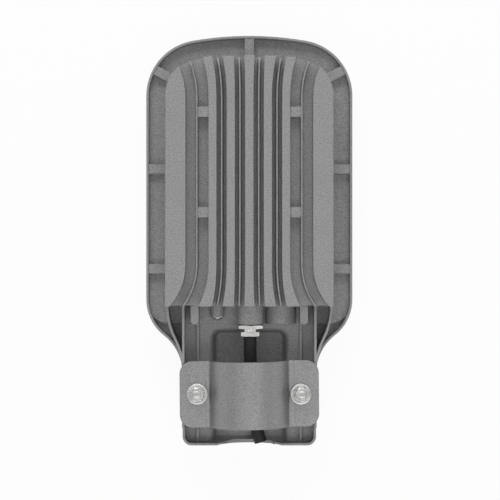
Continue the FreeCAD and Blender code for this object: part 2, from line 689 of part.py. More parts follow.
SIDE_SCREW_X = "(half_width - frame_screw_side)"
SIDE_SCREWS = ("side_screw_y - side_screw_pitch", "side_screw_y", "side_screw_y + side_screw_pitch")
frame_screws = [(sign + SIDE_SCREW_X, y) for y in SIDE_SCREWS for sign in ("", "-")]
frame_screws += [(sign + "end_screw_x", "platform_end + end_wall + frame_boss") for sign in ("", "-")]
frame_screws += [(sign + "nose_screw_x", "nose_y - frame_screw_side - nose_screw_drop") for sign in ("", "-")]
pad(housing, "frame_bosses", [(x, y, "frame_boss") for x, y in frame_screws], "seat_level", CEILING + " + 1")
pocket(housing, "block_hollow", [block_outline("block_wall", "pan_wall")],
       CEILING + " - 1", "valley_floor - pan_wall")
pocket(housing, "ridge_hollows",
       both(box("wide_out + block_wall", "block_half - block_wall", "flare_tail_y", "flare_nose_y")),
       "valley_floor - pan_wall - 1", "block_top - block_wall")

tray_screws = [(sign + "pillar_x", y) for y in ("bar_front_y", "bar_back_y") for sign in ("", "-")]
tray_screws += [(sign + "pillar_tail_x", "pillar_tail_y") for sign in ("", "-")]
pad(housing, "tray_pillars", [(x, y, "pillar_radius") for x, y in tray_screws],
    CEILING, "valley_floor - pan_wall + 1")

# Tapped holes
TRAY_TIP = "(pan_top - pan_wall - tray_thickness + tray_screw_length)"
pocket(housing, "tray_holes", [(x, y, "tray_screw_radius") for x, y in tray_screws],
       CEILING + " - 1", TRAY_TIP + " + tap_depth")
FRAME_HEAD = "(frame_bottom + frame_screw_sink)"
FRAME_TIP = "(%s + frame_screw_head_height + frame_screw_length)" % FRAME_HEAD
pocket(housing, "frame_holes", [(x, y, "frame_screw_radius") for x, y in frame_screws],
       "seat_level - 1", FRAME_TIP + " + tap_depth")
BOLT_TIP = "(spigot_top + clamp_sheet + washer_height + spring_height - bolt_length)"
pocket(housing, "bolt_holes", [("bolt_x", "clamp_y", "bolt_radius"), ("-bolt_x", "clamp_y", "bolt_radius")],
       BOLT_TIP + " - tap_depth", "spigot_top + 1")
pocket(housing, "gland_thread_hole", [("gland_x", "gland_z", "gland_thread")],
       "-platform_end - gland_tail", "-platform_end + 1", "XZ")
pocket(housing, "cable_tunnel", [("gland_x", "gland_z", "gland_tunnel")],
       "-block_tail - block_wall - 1", "-platform_end - gland_tail + 0.5", "XZ")
pocket(housing, "earth_hole", [("earth_x", "earth_z", "earth_radius")],
       "-earth_face - earth_depth - tap_depth", "-earth_face + 1", "XZ")

# Thin fins in the valleys, drafted, curved like the valleys and ramped down at the nose


fins = new_body("fin_blanks")


def thin_fin(name, centre, nose_arc, tail_arc):
    """One fin, lofted from its root to its thinner top."""
    levels = []
    for end, thickness, level in (("root", "fin_root", "valley_floor - fin_sink"), ("tip", "fin_tip", "fin_top")):
        nose_outer = "(%s - %s)" % (nose_arc, thickness)
        tail_outer = "(%s - %s)" % (tail_arc, thickness)
        loop = flared("(%s - %s / 2)" % (centre, thickness), "(%s + %s / 2)" % (centre, thickness),
                      nose_arc, nose_outer, tail_arc, tail_outer)
        levels.append(sketch_on(fins, "%s_%s" % (name, end), "XY", level, [loop]))
    loft = fins.newObject("PartDesign::AdditiveLoft", name)
    loft.Profile = levels[0]
    loft.Sections = [levels[1]]
    loft.Ruled = True
    fins.Tip = loft
    return loft


lofts = [thin_fin("narrow_fin_loft", "narrow_fin", "narrow_flare", "narrow_flare"),
         thin_fin("middle_fin_loft", "middle_fin", "middle_flare", "middle_flare"),
         thin_fin("wide_fin_loft", "wide_fin", "wide_fin_nose", "wide_fin_tail")]
other_side = fins.newObject("PartDesign::Mirrored", "other_side")
other_side.Originals = lofts
other_side.MirrorPlane = ([f for f in fins.Origin.OriginFeatures if f.Role == "YZ_Plane"][0], [""])
fins.Tip = other_side

limit = new_body("fin_limit")
pad(limit, "block_prism", [block_outline("fin_setback")], "valley_floor - 1", "block_top")
ramp = new_body("fin_ramp_tool")
pad(ramp, "ramp", [[("block_nose - fin_ramp", "fin_top + 1"), ("block_nose + 8", "fin_top + 1"),
                    ("block_nose + 8", "valley_floor - 1"), ("block_nose", "valley_floor - 1")]],
    "-block_half", "block_half", "YZ")
trimmed = doc.addObject("Part::Common", "trimmed_fins")
trimmed.Base = fins
trimmed.Tool = limit
ramped = cut("ramped_fins", trimmed, [ramp])
keep("housing", fuse("housing_casting", [housing, ramped]))


# Clamp plate, bent from sheet: two flat ears and a half round over the pole
plate = new_body("clamp_plate")
EAR_TOP = "(spigot_top + clamp_sheet)"
ARC_Z = "(spigot_top - clamp_drop)"
OUTER_ARC = "(clamp_arc + clamp_sheet)"
BEND_X = "sqrt((%s + clamp_bend)^2 - (clamp_drop + clamp_sheet + clamp_bend)^2)" % OUTER_ARC
BEND_Z = "(%s + clamp_bend)" % EAR_TOP
BEND_SHARE = "(%s / (%s + clamp_bend))" % (OUTER_ARC, OUTER_ARC)
INNER_SHARE = "(clamp_arc / (%s + clamp_bend))" % OUTER_ARC
pad(plate, "bent_sheet", [mirrored([
    (BEND_X + " * " + BEND_SHARE, "%s + (%s - %s) * %s" % (ARC_Z, BEND_Z, ARC_Z, BEND_SHARE),
     "clamp_bend", "left"),
    (BEND_X, EAR_TOP),
    ("clamp_half", EAR_TOP),
    ("clamp_half", "spigot_top"),
    (BEND_X, "spigot_top", "clamp_bend + clamp_sheet", "right"),
    (BEND_X + " * " + INNER_SHARE, "%s + (%s - %s) * %s" % (ARC_Z, BEND_Z, ARC_Z, INNER_SHARE))],
    ("clamp_arc", "left"), (OUTER_ARC, "right"))],
    "-clamp_y - clamp_width / 2", "-clamp_y + clamp_width / 2", "XZ")
pocket(plate, "bolt_openings", [("bolt_x", "clamp_y", "bolt_radius + bolt_play"),
                                ("-bolt_x", "clamp_y", "bolt_radius + bolt_play")],
       "spigot_top - 1", EAR_TOP + " + 1")
plate.recompute(True)


def upright_corner(edge):
    span = edge.BoundBox
    return span.ZLength > span.XLength + span.YLength and abs(abs(span.XMax) - worth("clamp_half")) < 0.01


round_edges(plate, "plate_corners", upright_corner, "clamp_corner")
keep("clamp_plate", plate)

# Screws that pull the plate down, with a spring washer and a flat washer each
WASHER_Z = EAR_TOP
SPRING_Z = "(%s + washer_height)" % EAR_TOP
HEAD_Z = "(%s + spring_height)" % SPRING_Z
screws, springs, washers = [], [], []
for side, name in (("-", "left"), ("", "right")):
    x = side + "bolt_x"
    shank = cylinder(name + "_shank", "bolt_radius", "bolt_length", x, "clamp_y", HEAD_Z + " - bolt_length")
    hexagon = prism(name + "_hexagon", "bolt_head", "bolt_head_height", x, "clamp_y", HEAD_Z)
    crown = doc.addObject("Part::Cone", name + "_crown")
    bind(crown, Radius1="bolt_head * 0.95 / 2 + bolt_head_height * 1.7", Radius2="bolt_head * 0.95 / 2",
         Height="bolt_head_height")
    move(crown, x, "clamp_y", HEAD_Z)
    head = doc.addObject("Part::Common", name + "_head")
    head.Base = hexagon
    head.Tool = crown
    screws.append(fuse(name + "_clamp_screw", [shank, head]))
    ring = cylinder(name + "_spring", "spring_outer", "spring_height", x, "clamp_y", SPRING_Z)
    hole = cylinder(name + "_spring_hole", "bolt_radius + bolt_play / 2", "spring_height",
                    x, "clamp_y", SPRING_Z)
    slit = block(name + "_spring_slit", x, x + " + spring_outer", "clamp_y - spring_slit / 2",
                 "clamp_y + spring_slit / 2", SPRING_Z, HEAD_Z)
    slit.Placement.Rotation = FreeCAD.Rotation(V(0, 0, 1), 35 if name == "left" else 140)
    springs.append(cut(name + "_spring_washer", ring, [hole, slit]))
    disc = cylinder(name + "_disc", "washer_outer", "washer_height", x, "clamp_y", WASHER_Z)
    hole = cylinder(name + "_disc_hole", "bolt_radius + bolt_play", "washer_height",
                    x, "clamp_y", WASHER_Z)
    washers.append(cut(name + "_washer", disc, [hole]))
keep("clamp_screws", group("clamp_screw_pair", screws))
keep("spring_washers", group("spring_washer_pair", springs))
keep("flat_washers", group("washer_pair", washers))

# Earth screw with its toothed washer on the end of its boss
EARTH = {"x": "earth_x", "z": "earth_z", "along": "-Y"}
earth_washer = cylinder("earth_washer_disc", "earth_disc", "earth_disc_height", y="earth_face", **EARTH)
earth_hole = cylinder("earth_washer_hole", "earth_radius + screw_play", "earth_disc_height",
                      y="earth_face", **EARTH)
keep("earth_washer", cut("earth_washer_ring", earth_washer, [earth_hole]))
earth_shank = cylinder("earth_shank", "earth_radius", "earth_depth + earth_disc_height",
                       y="earth_face + earth_depth", **EARTH)
earth_head = cylinder("earth_cap", "earth_head", "earth_head_height", y="earth_face - earth_disc_height", **EARTH)
keep("earth_screw", fuse("earth_screw_body", [earth_shank, earth_head]))

# Cable gland: flat seal, body, rubber ring and cap nut
GLAND = {"x": "gland_x", "z": "gland_z", "along": "-Y"}
FLANGE_Y = "(platform_end - gland_gasket)"
NECK_Y = "(%s - gland_flange)" % FLANGE_Y
NUT_Y = "(%s - gland_nut_gap)" % NECK_Y
NUT_FACE = "(%s - gland_nut_height)" % NUT_Y
NECK_END = "(%s - gland_neck_length)" % NECK_Y
CAP_Y = "(%s + gland_nut_end)" % NUT_FACE
BORE = "cable_radius + cable_play"
keep("gland_gasket", cut("gland_gasket_ring",
     cylinder("gland_gasket_disc", "gland_hex / 2 - gasket_inset", "gland_gasket", y="platform_end", **GLAND),
     [cylinder("gland_gasket_hole", "gland_thread", "gland_gasket", y="platform_end", **GLAND)]))
gland_shape = fuse("gland_solid", [
    cylinder("gland_stem", "gland_thread", "gland_tail", y=FLANGE_Y + " + gland_tail", **GLAND),
    prism("gland_hexagon", "gland_hex", "gland_flange", y=FLANGE_Y, **GLAND),
    cylinder("gland_neck_rod", "gland_neck", "gland_neck_length", y=NECK_Y, **GLAND)])
keep("gland_body", cut("gland_body_bored", gland_shape,
     [cylinder("gland_bore", BORE, "gland_tail + gland_flange + gland_neck_length",
               y=FLANGE_Y + " + gland_tail", **GLAND)]))
keep("gland_nut", cut("gland_nut_bored",
     prism("gland_nut_hexagon", "gland_nut_hex", "gland_nut_height", y=NUT_Y, **GLAND),
     [cylinder("gland_nut_thread", "gland_neck", "gland_nut_height - gland_nut_end", y=NUT_Y, **GLAND),
      cylinder("gland_nut_mouth", BORE, "gland_nut_height", y=NUT_Y, **GLAND)]))
keep("gland_seal", cut("gland_seal_ring",
     cylinder("gland_seal_disc", "gland_neck - seal_play", "%s - %s" % (NECK_END, CAP_Y), y=NECK_END, **GLAND),
     [cylinder("gland_seal_hole", "cable_radius", "%s - %s" % (NECK_END, CAP_Y), y=NECK_END, **GLAND)]))

# Mains cable: the stretch inside the gland, its cores, and the free stretch down to the notch
keep("gland_cable", cylinder("gland_cable_rod", "cable_radius", "sheath_end - %s" % NUT_FACE,
                             y="sheath_end", **GLAND))
cores = []
for step in (-1, 0, 1):
    cores.append(cylinder("core_%d" % (step + 2), "core_radius", "terminal_tail - sheath_end",
                          "gland_x + %d * core_pitch" % step, "terminal_tail", "gland_z", "-Y"))
keep("cable_cores", group("core_set", cores))

# Route of the free stretch after the nut, chosen by hand: level, then down and across to the notch
CABLE_ROUTE = [V(0.6, -87.5, 29.0), V(1.3, -110.5, 22.6), V(3.2, -135.5, 17.6), V(8.5, -152.0, 17.3)]


def route_wire(points):
    """Straight runs joined by tangent arcs, each as large as its two runs allow."""
    edges, at = [], points[0]
    for before, corner, after in zip(points, points[1:], points[2:]):
        into, out = corner - before, after - corner
        turn = into.getAngle(out)
        arc = 0.45 * min(into.Length, out.Length) / math.tan(turn / 2)
        print("cable bend radius %.1f mm, turn %.1f degrees" % (arc, math.degrees(turn)))
        setback = arc * math.tan(turn / 2)
        into.normalize()
        out.normalize()
        first = corner - into * setback
        last = corner + out * setback
        middle = corner + (out - into).normalize() * arc * (1 / math.cos(turn / 2) - 1)
        edges.append(Part.LineSegment(at, first).toShape())
        edges.append(Part.Arc(first, middle, last).toShape())
        at = last
    edges.append(Part.LineSegment(at, points[-1]).toShape())
    return Part.Wire(edges)


def tube(name, points, radius):
    """A round solid along a route."""
    path = route_wire(points)
    ring = Part.Wire(Part.makeCircle(radius, points[0], points[1] - points[0]))
    solid = path.makePipeShell([ring], True, False)
    section = math.pi * radius ** 2 * path.Length
    print("%s: length %.1f mm, volume %.1f against %.1f" % (name, path.Length, solid.Volume, section))
    if abs(solid.Volume / section - 1) > 0.01:
        raise SystemExit("%s is not a clean tube" % name)
    feature = doc.addObject("Part::Feature", name)
    feature.Shape = solid
    return feature


start = V(worth("gland_x"), worth(NUT_FACE), worth("gland_z"))
keep("mains_cable", tube("mains_cable_tube", [start] + CABLE_ROUTE, worth("cable_radius")))

# Window frame, glass and gasket
frame = new_body("window_frame")
pad(frame, "frame_ring",
    [window("rim_wall + frame_play", "platform_end + end_wall + frame_play", "window_arc"),
     window("window_inset + frame_cover", "window_tail + frame_cover", "window_arc / 2")],
    "frame_bottom", "seat_level")
pocket(frame, "glass_recess", [window("window_inset - glass_play", "window_tail - glass_play", "window_arc")],
       "frame_bottom + frame_lip", "seat_level")
pocket(frame, "screw_clearance", [(x, y, "frame_screw_radius + screw_play") for x, y in frame_screws],
       "frame_bottom", "seat_level")
pocket(frame, "head_recess", [(x, y, "frame_screw_head + head_play") for x, y in frame_screws],
       "frame_bottom", FRAME_HEAD + " + frame_screw_head_height")
keep("window_frame", frame)

glass = new_body("window_glass")
GLASS_Z = "(frame_bottom + frame_lip)"
pad(glass, "pane", [window("window_inset", "window_tail", "window_arc")],
    GLASS_Z, GLASS_Z + " + glass_thickness")
keep("window_glass", glass)
gasket = new_body("window_gasket")
pad(gasket, "gasket_ring", [window("window_inset", "window_tail", "window_arc"),
                            window("window_inset + seat_width", "window_tail + seat_width",
                                   "window_arc - seat_width")], GLASS_Z + " + glass_thickness", "seat_level")
keep("window_gasket", gasket)


def screw_set(name, places, radius, length, head, head_height, head_z):
    """Pan head screws that point up, with their heads' undersides at head_z + head_height."""
    made = []
    for number, (x, y) in enumerate(places, start=1):
        label = "%s_%d" % (name, number)
        shank = cylinder(label + "_shank", radius, length + " + " + head_height, x, y, head_z)
        cap = cylinder(label + "_head", head, head_height, x, y, head_z)
        made.append(fuse(label, [shank, cap]))
    return keep(name, group(name + "_set", made))


screw_set("frame_screws", frame_screws, "frame_screw_radius", "frame_screw_length",
          "frame_screw_head", "frame_screw_head_height", FRAME_HEAD)

# Gear tray that closes the block's hollow and carries the light engine
tray = new_body("gear_tray")
TRAY_Z = "(%s - tray_thickness)" % CEILING
TRAY_INSET = "(window_inset + seat_width + tray_play)"
TRAY_TAIL = "(window_tail + seat_width + tray_play)"
pad(tray, "sheet", [window(TRAY_INSET, TRAY_TAIL, "tray_arc")], TRAY_Z, CEILING)
LEAD_Y = "(driver_nose - lead_inset)"
pocket(tray, "tray_openings", [(x, y, "tray_screw_radius + screw_play") for x, y in tray_screws]
       + [("0", LEAD_Y, "lead_opening")], TRAY_Z, CEILING)
board_screws = [(sign + "board_half / 2", y)
                for y in ("board_tail + board_screw_inset", "board_nose - board_screw_inset")
                for sign in ("", "-")]
driver_screws = [("0", "driver_tail - driver_foot / 2"), ("0", "driver_nose + driver_foot / 2")]
pocket(tray, "tapped_holes", [(x, y, "board_screw_radius") for x, y in board_screws]
       + [(x, y, "driver_screw_radius") for x, y in driver_screws], TRAY_Z, CEILING)
keep("gear_tray", tray)
screw_set("tray_screws", tray_screws, "tray_screw_radius", "tray_screw_length", "tray_screw_head",
          "tray_screw_head_height", TRAY_Z + " - tray_screw_head_height")

# LED board, its packages and the lens sheet
board = new_body("led_board")
BOARD_Z = "(%s - board_thickness)" % TRAY_Z
pad(board, "board_sheet", [box("-board_half", "board_half", "board_tail", "board_nose")], BOARD_Z, TRAY_Z)
board.recompute(True)


def board_corner(edge):
    return edge.BoundBox.XLength + edge.BoundBox.YLength < 0.01


round_edges(board, "board_corners", board_corner, "board_arc")
pocket(board, "board_openings", [(x, y, "board_screw_radius + screw_play") for x, y in board_screws]
       + [(x, y, "tray_screw_head + board_play") for x, y in tray_screws[:4]], BOARD_Z, TRAY_Z)
keep("led_board", board)

COLUMNS = 4
ROWS = 8
ROWS_BEHIND = 3
LED_Z = "(%s - led_height)" % BOARD_Z
led_places = [("(%s) * lens_pitch_x" % (column - (COLUMNS - 1) / 2),
               "bar_back_y + (%s) * lens_pitch_y" % (row - ROWS_BEHIND + 0.5))
              for row in range(ROWS) for column in range(COLUMNS)]
keep("led_packages", group("led_set", [
    block("led_%d" % number, "%s - led_size / 2" % x, "%s + led_size / 2" % x,
          "%s - led_size / 2" % y, "%s + led_size / 2" % y, LED_Z, BOARD_Z)
    for number, (x, y) in enumerate(led_places, start=1)]))

# The lens sheet lies on the packages and swells into a shallow lens under each one
LENS_Z = "(%s - lens_plate)" % LED_Z
lens = new_body("lens_sheet")
pad(lens, "lens_plate", [box("-board_half + lens_margin", "board_half - lens_margin",
                             "board_tail + lens_margin", "board_nose - lens_margin")], LENS_Z, LED_Z)
pocket(lens, "lens_openings", [(x, y, "board_screw_head + head_play") for x, y in board_screws],
       LENS_Z, LED_Z)
swells = []
for number, (x, y) in enumerate(led_places, start=1):
    swell = doc.addObject("Part::Cone", "lens_%d" % number)
    bind(swell, Radius1="lens_tip", Radius2="lens_root", Height="lens_rise")
    swells.append(move(swell, x, y, "%s - lens_rise" % LENS_Z))
keep("lens_sheet", fuse("lens_sheet_solid", [lens] + swells))
screw_set("board_screws", board_screws, "board_screw_radius", "board_thickness + board_screw_bite",
          "board_screw_head", "board_screw_head_height", BOARD_Z + " - board_screw_head_height")

# Driver on the tray, with a foot and screw at each end, terminal block and leads
DRIVER_TOP = "(%s + driver_height)" % CEILING
driver_case = block("driver_case", "-driver_half", "driver_half", "driver_tail", "driver_nose",
                    CEILING, DRIVER_TOP)
feet = block("driver_feet", "-driver_half / 2", "driver_half / 2", "driver_tail - driver_foot",
             "driver_nose + driver_foot", CEILING, CEILING + " + driver_foot_height")
keep("driver", cut("driver_drilled", fuse("driver_body", [driver_case, feet]),
     [cylinder("driver_hole_%d" % number, "driver_screw_radius + screw_play", "driver_foot_height",
               x, y, CEILING)
      for number, (x, y) in enumerate(driver_screws)]))
driver_pins = []
for number, (x, y) in enumerate(driver_screws):
    label = "driver_screw_%d" % number
    driver_pins.append(fuse(label, [
        cylinder(label + "_shank", "driver_screw_radius",
                 "driver_foot_height + tray_thickness - driver_screw_short", x, y,
                 TRAY_Z + " + driver_screw_short"),
        cylinder(label + "_head", "driver_screw_head", "driver_screw_head_height", x, y,
                 CEILING + " + driver_foot_height")]))
keep("driver_screws", group("driver_screw_pair", driver_pins))
TERMINAL_NOSE = "(terminal_tail + terminal_length)"
keep("terminal_block", block("terminal_body", "gland_x - terminal_half", "gland_x + terminal_half",
                             "terminal_tail", TERMINAL_NOSE, CEILING, CEILING + " + terminal_height"))
keep("driver_leads", group("driver_lead_set", [
    cylinder("driver_lead_%d" % (step + 2), "lead_radius", "driver_tail - " + TERMINAL_NOSE,
             "gland_x + %d * core_pitch" % step, TERMINAL_NOSE, "gland_z", "Y") for step in (-1, 0, 1)]))

# Two leads run from under the driver through the tray down to the LED board
keep("led_leads", group("led_lead_pair", [
    cylinder("led_lead_" + name, "lead_radius", "tray_thickness", side + "lead_pitch / 2", LEAD_Y, TRAY_Z)
    for side, name in (("-", "left"), ("", "right"))]))

doc.recompute()
for obj in doc.Objects:
    if "Invalid" in obj.State or "Error" in obj.State:
        raise SystemExit("%s failed: %s" % (obj.Name, obj.State))
os.makedirs("parts", exist_ok=True)
for name, obj in nodes:
    shape = obj.Shape
    if shape.isNull() or not shape.isValid():
        raise SystemExit("%s has no valid shape" % name)
    shape.exportStep("parts/%s.step" % name)
    corner = shape.BoundBox
    print("%-16s solids %2d  volume %9.1f  x %.2f..%.2f y %.2f..%.2f z %.2f..%.2f" % (
        name, len(shape.Solids), shape.Volume, corner.XMin, corner.XMax, corner.YMin, corner.YMax,
        corner.ZMin, corner.ZMax))
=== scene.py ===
import bpy
import math
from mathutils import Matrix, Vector


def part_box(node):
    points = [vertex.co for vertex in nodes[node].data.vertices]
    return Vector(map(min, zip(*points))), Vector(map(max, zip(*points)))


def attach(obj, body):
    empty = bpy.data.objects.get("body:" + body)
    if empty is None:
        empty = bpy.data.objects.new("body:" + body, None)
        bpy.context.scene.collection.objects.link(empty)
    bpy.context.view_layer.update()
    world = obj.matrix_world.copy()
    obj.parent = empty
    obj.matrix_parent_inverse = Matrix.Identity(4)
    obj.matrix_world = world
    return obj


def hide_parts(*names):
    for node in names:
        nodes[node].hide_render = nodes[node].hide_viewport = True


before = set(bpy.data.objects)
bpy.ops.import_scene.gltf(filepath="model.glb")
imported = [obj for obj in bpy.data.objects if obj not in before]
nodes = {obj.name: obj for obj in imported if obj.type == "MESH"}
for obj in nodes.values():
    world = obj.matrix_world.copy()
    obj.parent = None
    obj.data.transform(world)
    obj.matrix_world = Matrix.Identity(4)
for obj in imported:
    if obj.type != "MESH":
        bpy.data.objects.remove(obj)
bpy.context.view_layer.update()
mm = 0.001
weldGap = 0.002 * mm  # points nearer than this are one point
print("frame loaded:", len(nodes), "nodes")


# helpers

def deselectAll():
    if bpy.context.object and bpy.context.object.mode != "OBJECT":
        bpy.ops.object.mode_set(mode="OBJECT")
    bpy.ops.object.select_all(action="DESELECT")


def pick(obj):
    deselectAll()
    obj.select_set(True)
    bpy.context.view_layer.objects.active = obj
    return obj


def edit(obj, mode="EDGE"):
    pick(obj)
    bpy.ops.object.mode_set(mode="EDIT")
    bpy.ops.mesh.select_mode(type=mode)
    bpy.ops.mesh.select_all(action="DESELECT")


def done():
    bpy.ops.object.mode_set(mode="OBJECT")
    return bpy.context.object


def selectFaces(obj, wanted):
    bpy.ops.object.mode_set(mode="OBJECT")
    for face in obj.data.polygons:
        face.select = bool(wanted(face))
    bpy.ops.object.mode_set(mode="EDIT")


def selectEdges(obj, wanted):
    bpy.ops.object.mode_set(mode="OBJECT")
    points = obj.data.vertices
    for face in obj.data.polygons:
        face.select = False
    for point in points:
        point.select = False
    for edge in obj.data.edges:
        edge.select = bool(wanted(points[edge.vertices[0]].co, points[edge.vertices[1]].co))
    bpy.ops.object.mode_set(mode="EDIT")


def finishPiece(obj, name, slot, material, *replaced):
    pick(obj)
    bpy.ops.object.transform_apply(location=True, rotation=True, scale=True)
    obj.name = name
    obj.data.name = name
    obj.data.materials.clear()
    obj.data.materials.append(material)
    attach(obj, "root")
    if replaced:
        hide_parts(*replaced)
    return obj


softening = {
    "sharpAngle": 28,
    "edgeSteps": 2,
    "roundSteps": 4,
    "smoothAngle": 50,
    "flatWeight": 50}


def softened(node, name, width, slot, material, angle=softening["sharpAngle"], rounds=(), shape=None):
    # a copy of a frame part with its sharp edges broken, as a casting or a punched sheet has them;
    # shape works on the copy first, then each of the rounds is a test for edges and their own width
    obj = bpy.data.objects.new(name, nodes[node].data.copy())
    bpy.context.scene.collection.objects.link(obj)
    edit(obj, "VERT")
    bpy.ops.mesh.select_all(action="SELECT")
    bpy.ops.mesh.remove_doubles(threshold=weldGap)
    if shape:
        shape(obj)
    bpy.ops.mesh.select_mode(type="EDGE")
    for wanted, ownWidth in rounds:
        selectEdges(obj, wanted)
        bpy.ops.mesh.bevel(offset=ownWidth * mm, segments=softening["roundSteps"], clamp_overlap=False,
                           loop_slide=True)
    bpy.ops.mesh.select_all(action="DESELECT")
    bpy.ops.mesh.edges_select_sharp(sharpness=math.radians(angle))
    bpy.ops.mesh.bevel(offset=width * mm, segments=softening["edgeSteps"], clamp_overlap=False,
                       loop_slide=False)
    bpy.ops.mesh.select_all(action="SELECT")
    bpy.ops.mesh.quads_convert_to_tris(quad_method="BEAUTY", ngon_method="BEAUTY")
    done()
    bpy.ops.object.shade_smooth_by_angle(angle=math.radians(softening["smoothAngle"]))
    weighted = obj.modifiers.new("flatFaces", "WEIGHTED_NORMAL")
    weighted.mode = "FACE_AREA"
    weighted.weight = softening["flatWeight"]
    weighted.keep_sharp = True
    bpy.ops.object.modifier_apply(modifier="flatFaces")
    return finishPiece(obj, name, slot, material, node)


def spanOf(node):
    low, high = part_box(node)
    return low / mm, high / mm


def apply(obj, modifier):
    pick(obj)
    bpy.ops.object.modifier_apply(modifier=modifier.name)


def copyOf(obj, name, move):
    twin = obj.copy()
    twin.data = obj.data.copy()
    twin.name = name
    twin.location = Vector(move) * mm
    bpy.context.scene.collection.objects.link(twin)
    return twin


def joined(name, parts):
    deselectAll()
    for part in parts:
        part.select_set(True)
    bpy.context.view_layer.objects.active = parts[0]
    bpy.ops.object.join()
    parts[0].name = name
    return parts[0]


def combined(obj, other, operation):
    # operation is UNION, DIFFERENCE or INTERSECT
    modifier = obj.modifiers.new("combined", "BOOLEAN")
    modifier.operation = operation
    modifier.solver = "EXACT"
    modifier.object = other
    apply(obj, modifier)
    bpy.data.objects.remove(other, do_unlink=True)
    return obj


def smoothed(obj, angle=35):
    # angles in degrees
    pick(obj)
    bpy.ops.object.shade_smooth_by_angle(angle=math.radians(angle))
    return obj


def rounded(obj, width, segments=2, angle=30):
    modifier = obj.modifiers.new("rounded", "BEVEL")
    modifier.width = width * mm
    modifier.segments = segments
    modifier.limit_method = "ANGLE"
    modifier.angle_limit = math.radians(angle)
    apply(obj, modifier)
    return smoothed(obj, 40)


def turned(name, outline, steps=64):
    # lathe work: the outline's (radius, height) points in millimetres, spun round the upright axis
    deselectAll()
    bpy.ops.mesh.primitive_plane_add(size=mm, location=(0, 0, 0))
    obj = bpy.context.object
    obj.name = name
    bpy.ops.object.mode_set(mode="EDIT")
    bpy.ops.mesh.select_mode(type="VERT")
    bpy.ops.mesh.select_all(action="SELECT")
    bpy.ops.mesh.merge(type="CENTER")
    bpy.ops.transform.translate(value=(outline[0][0] * mm, 0, outline[0][1] * mm))
    for (fromRadius, fromHeight), (toRadius, toHeight) in zip(outline, outline[1:]):
        step = ((toRadius - fromRadius) * mm, 0, (toHeight - fromHeight) * mm)
        bpy.ops.mesh.extrude_region_move(TRANSFORM_OT_translate={"value": step})
    bpy.ops.mesh.select_all(action="SELECT")
    bpy.ops.mesh.spin(steps=steps, angle=2 * math.pi, center=(0, 0, 0), axis=(0, 0, 1))
    bpy.ops.mesh.select_all(action="SELECT")
    bpy.ops.mesh.remove_doubles(threshold=weldGap)
    bpy.ops.mesh.normals_make_consistent(inside=False)
    return done()


def threaded(radius, depth, low, high, pitch):
    # the zigzag of a thread, from low to high
    points = []
    for ridge in range(round((high - low) / pitch)):
        points += [(radius - depth, low + ridge * pitch), (radius, low + (ridge + 0.5) * pitch)]
    return points + [(radius - depth, high)]


def hexagonBar(name, flats, low, high, turn=0):
    # a corner points along +Y before the turn
    deselectAll()
    bpy.ops.mesh.primitive_cylinder_add(
        vertices=6, radius=flats / math.sqrt(3) * mm, depth=(high - low) * mm,
        location=(0, 0, (low + high) / 2 * mm), rotation=(0, 0, math.radians(turn)))
    obj = bpy.context.object
    obj.name = name
    bpy.ops.object.transform_apply(location=True, rotation=True, scale=True)
    return obj


def barAdded(name, size, centre, turn=0):
    deselectAll()
    bpy.ops.mesh.primitive_cube_add(
        size=1, location=Vector(centre) * mm, rotation=(0, 0, math.radians(turn)))
    obj = bpy.context.object
    obj.name = name
    obj.scale = Vector(size) * mm
    bpy.ops.object.transform_apply(location=True, rotation=True, scale=True)
    return obj


def placesOf(node):
    # the middle of each loose solid of a frame part, in millimetres
    obj = bpy.data.objects.new("loose", nodes[node].data.copy())
    bpy.context.scene.collection.objects.link(obj)
    edit(obj, "VERT")
    bpy.ops.mesh.select_all(action="SELECT")
    bpy.ops.mesh.remove_doubles(threshold=weldGap)
    bpy.ops.mesh.separate(type="LOOSE")
    bpy.ops.object.mode_set(mode="OBJECT")
    places = []
    for piece in list(bpy.context.selected_objects):
        corners = [Vector(corner) / mm for corner in piece.bound_box]
        places.append(sum(corners, Vector()) / 8)
        bpy.data.objects.remove(piece, do_unlink=True)
    return sorted(places, key=lambda place: (round(place.y, 1), round(place.x, 1)))


# shader groups

surfaceOutputs = [
    ("Color", "NodeSocketColor"), ("Roughness", "NodeSocketFloat"), ("Height", "NodeSocketFloat")]


def newGroup(name, inputs, outputs):
    group = bpy.data.node_groups.new(name, "ShaderNodeTree")
    for label, kind, value in inputs:
        socket = group.interface.new_socket(name=label, in_out="INPUT", socket_type=kind)
        socket.default_value = value
    for label, kind in outputs:
        group.interface.new_socket(name=label, in_out="OUTPUT", socket_type=kind)
    start = group.nodes.new("NodeGroupInput")
    end = group.nodes.new("NodeGroupOutput")
    return group, start, end


def worked(tree, operation, *values):
    # a maths node; each value is a number or another node's output
    node = tree.nodes.new("ShaderNodeMath")
    node.operation = operation
    for socket, value in zip(node.inputs, values):
        if isinstance(value, (int, float)):
            socket.default_value = value
        else:
            tree.links.new(value, socket)
    return node.outputs[0]


def noiseNode(tree, vector, detail=2, roughness=0.5):
    noise = tree.nodes.new("ShaderNodeTexNoise")
    noise.inputs["Detail"].default_value = detail
    noise.inputs["Roughness"].default_value = roughness
    tree.links.new(vector, noise.inputs["Vector"])
    return noise


def ranged(tree, value, fromMin, fromMax, toMin, toMax):
    node = tree.nodes.new("ShaderNodeMapRange")
    limits = {"From Min": fromMin, "From Max": fromMax, "To Min": toMin, "To Max": toMax}
    for label, limit in limits.items():
        node.inputs[label].default_value = limit
    tree.links.new(value, node.inputs["Value"])
    return node.outputs["Result"]


def tintedBy(tree, color, factor):
    node = tree.nodes.new("ShaderNodeVectorMath")
    node.operation = "SCALE"
    tree.links.new(color, node.inputs[0])
    tree.links.new(factor, node.inputs["Scale"])
    return node.outputs[0]


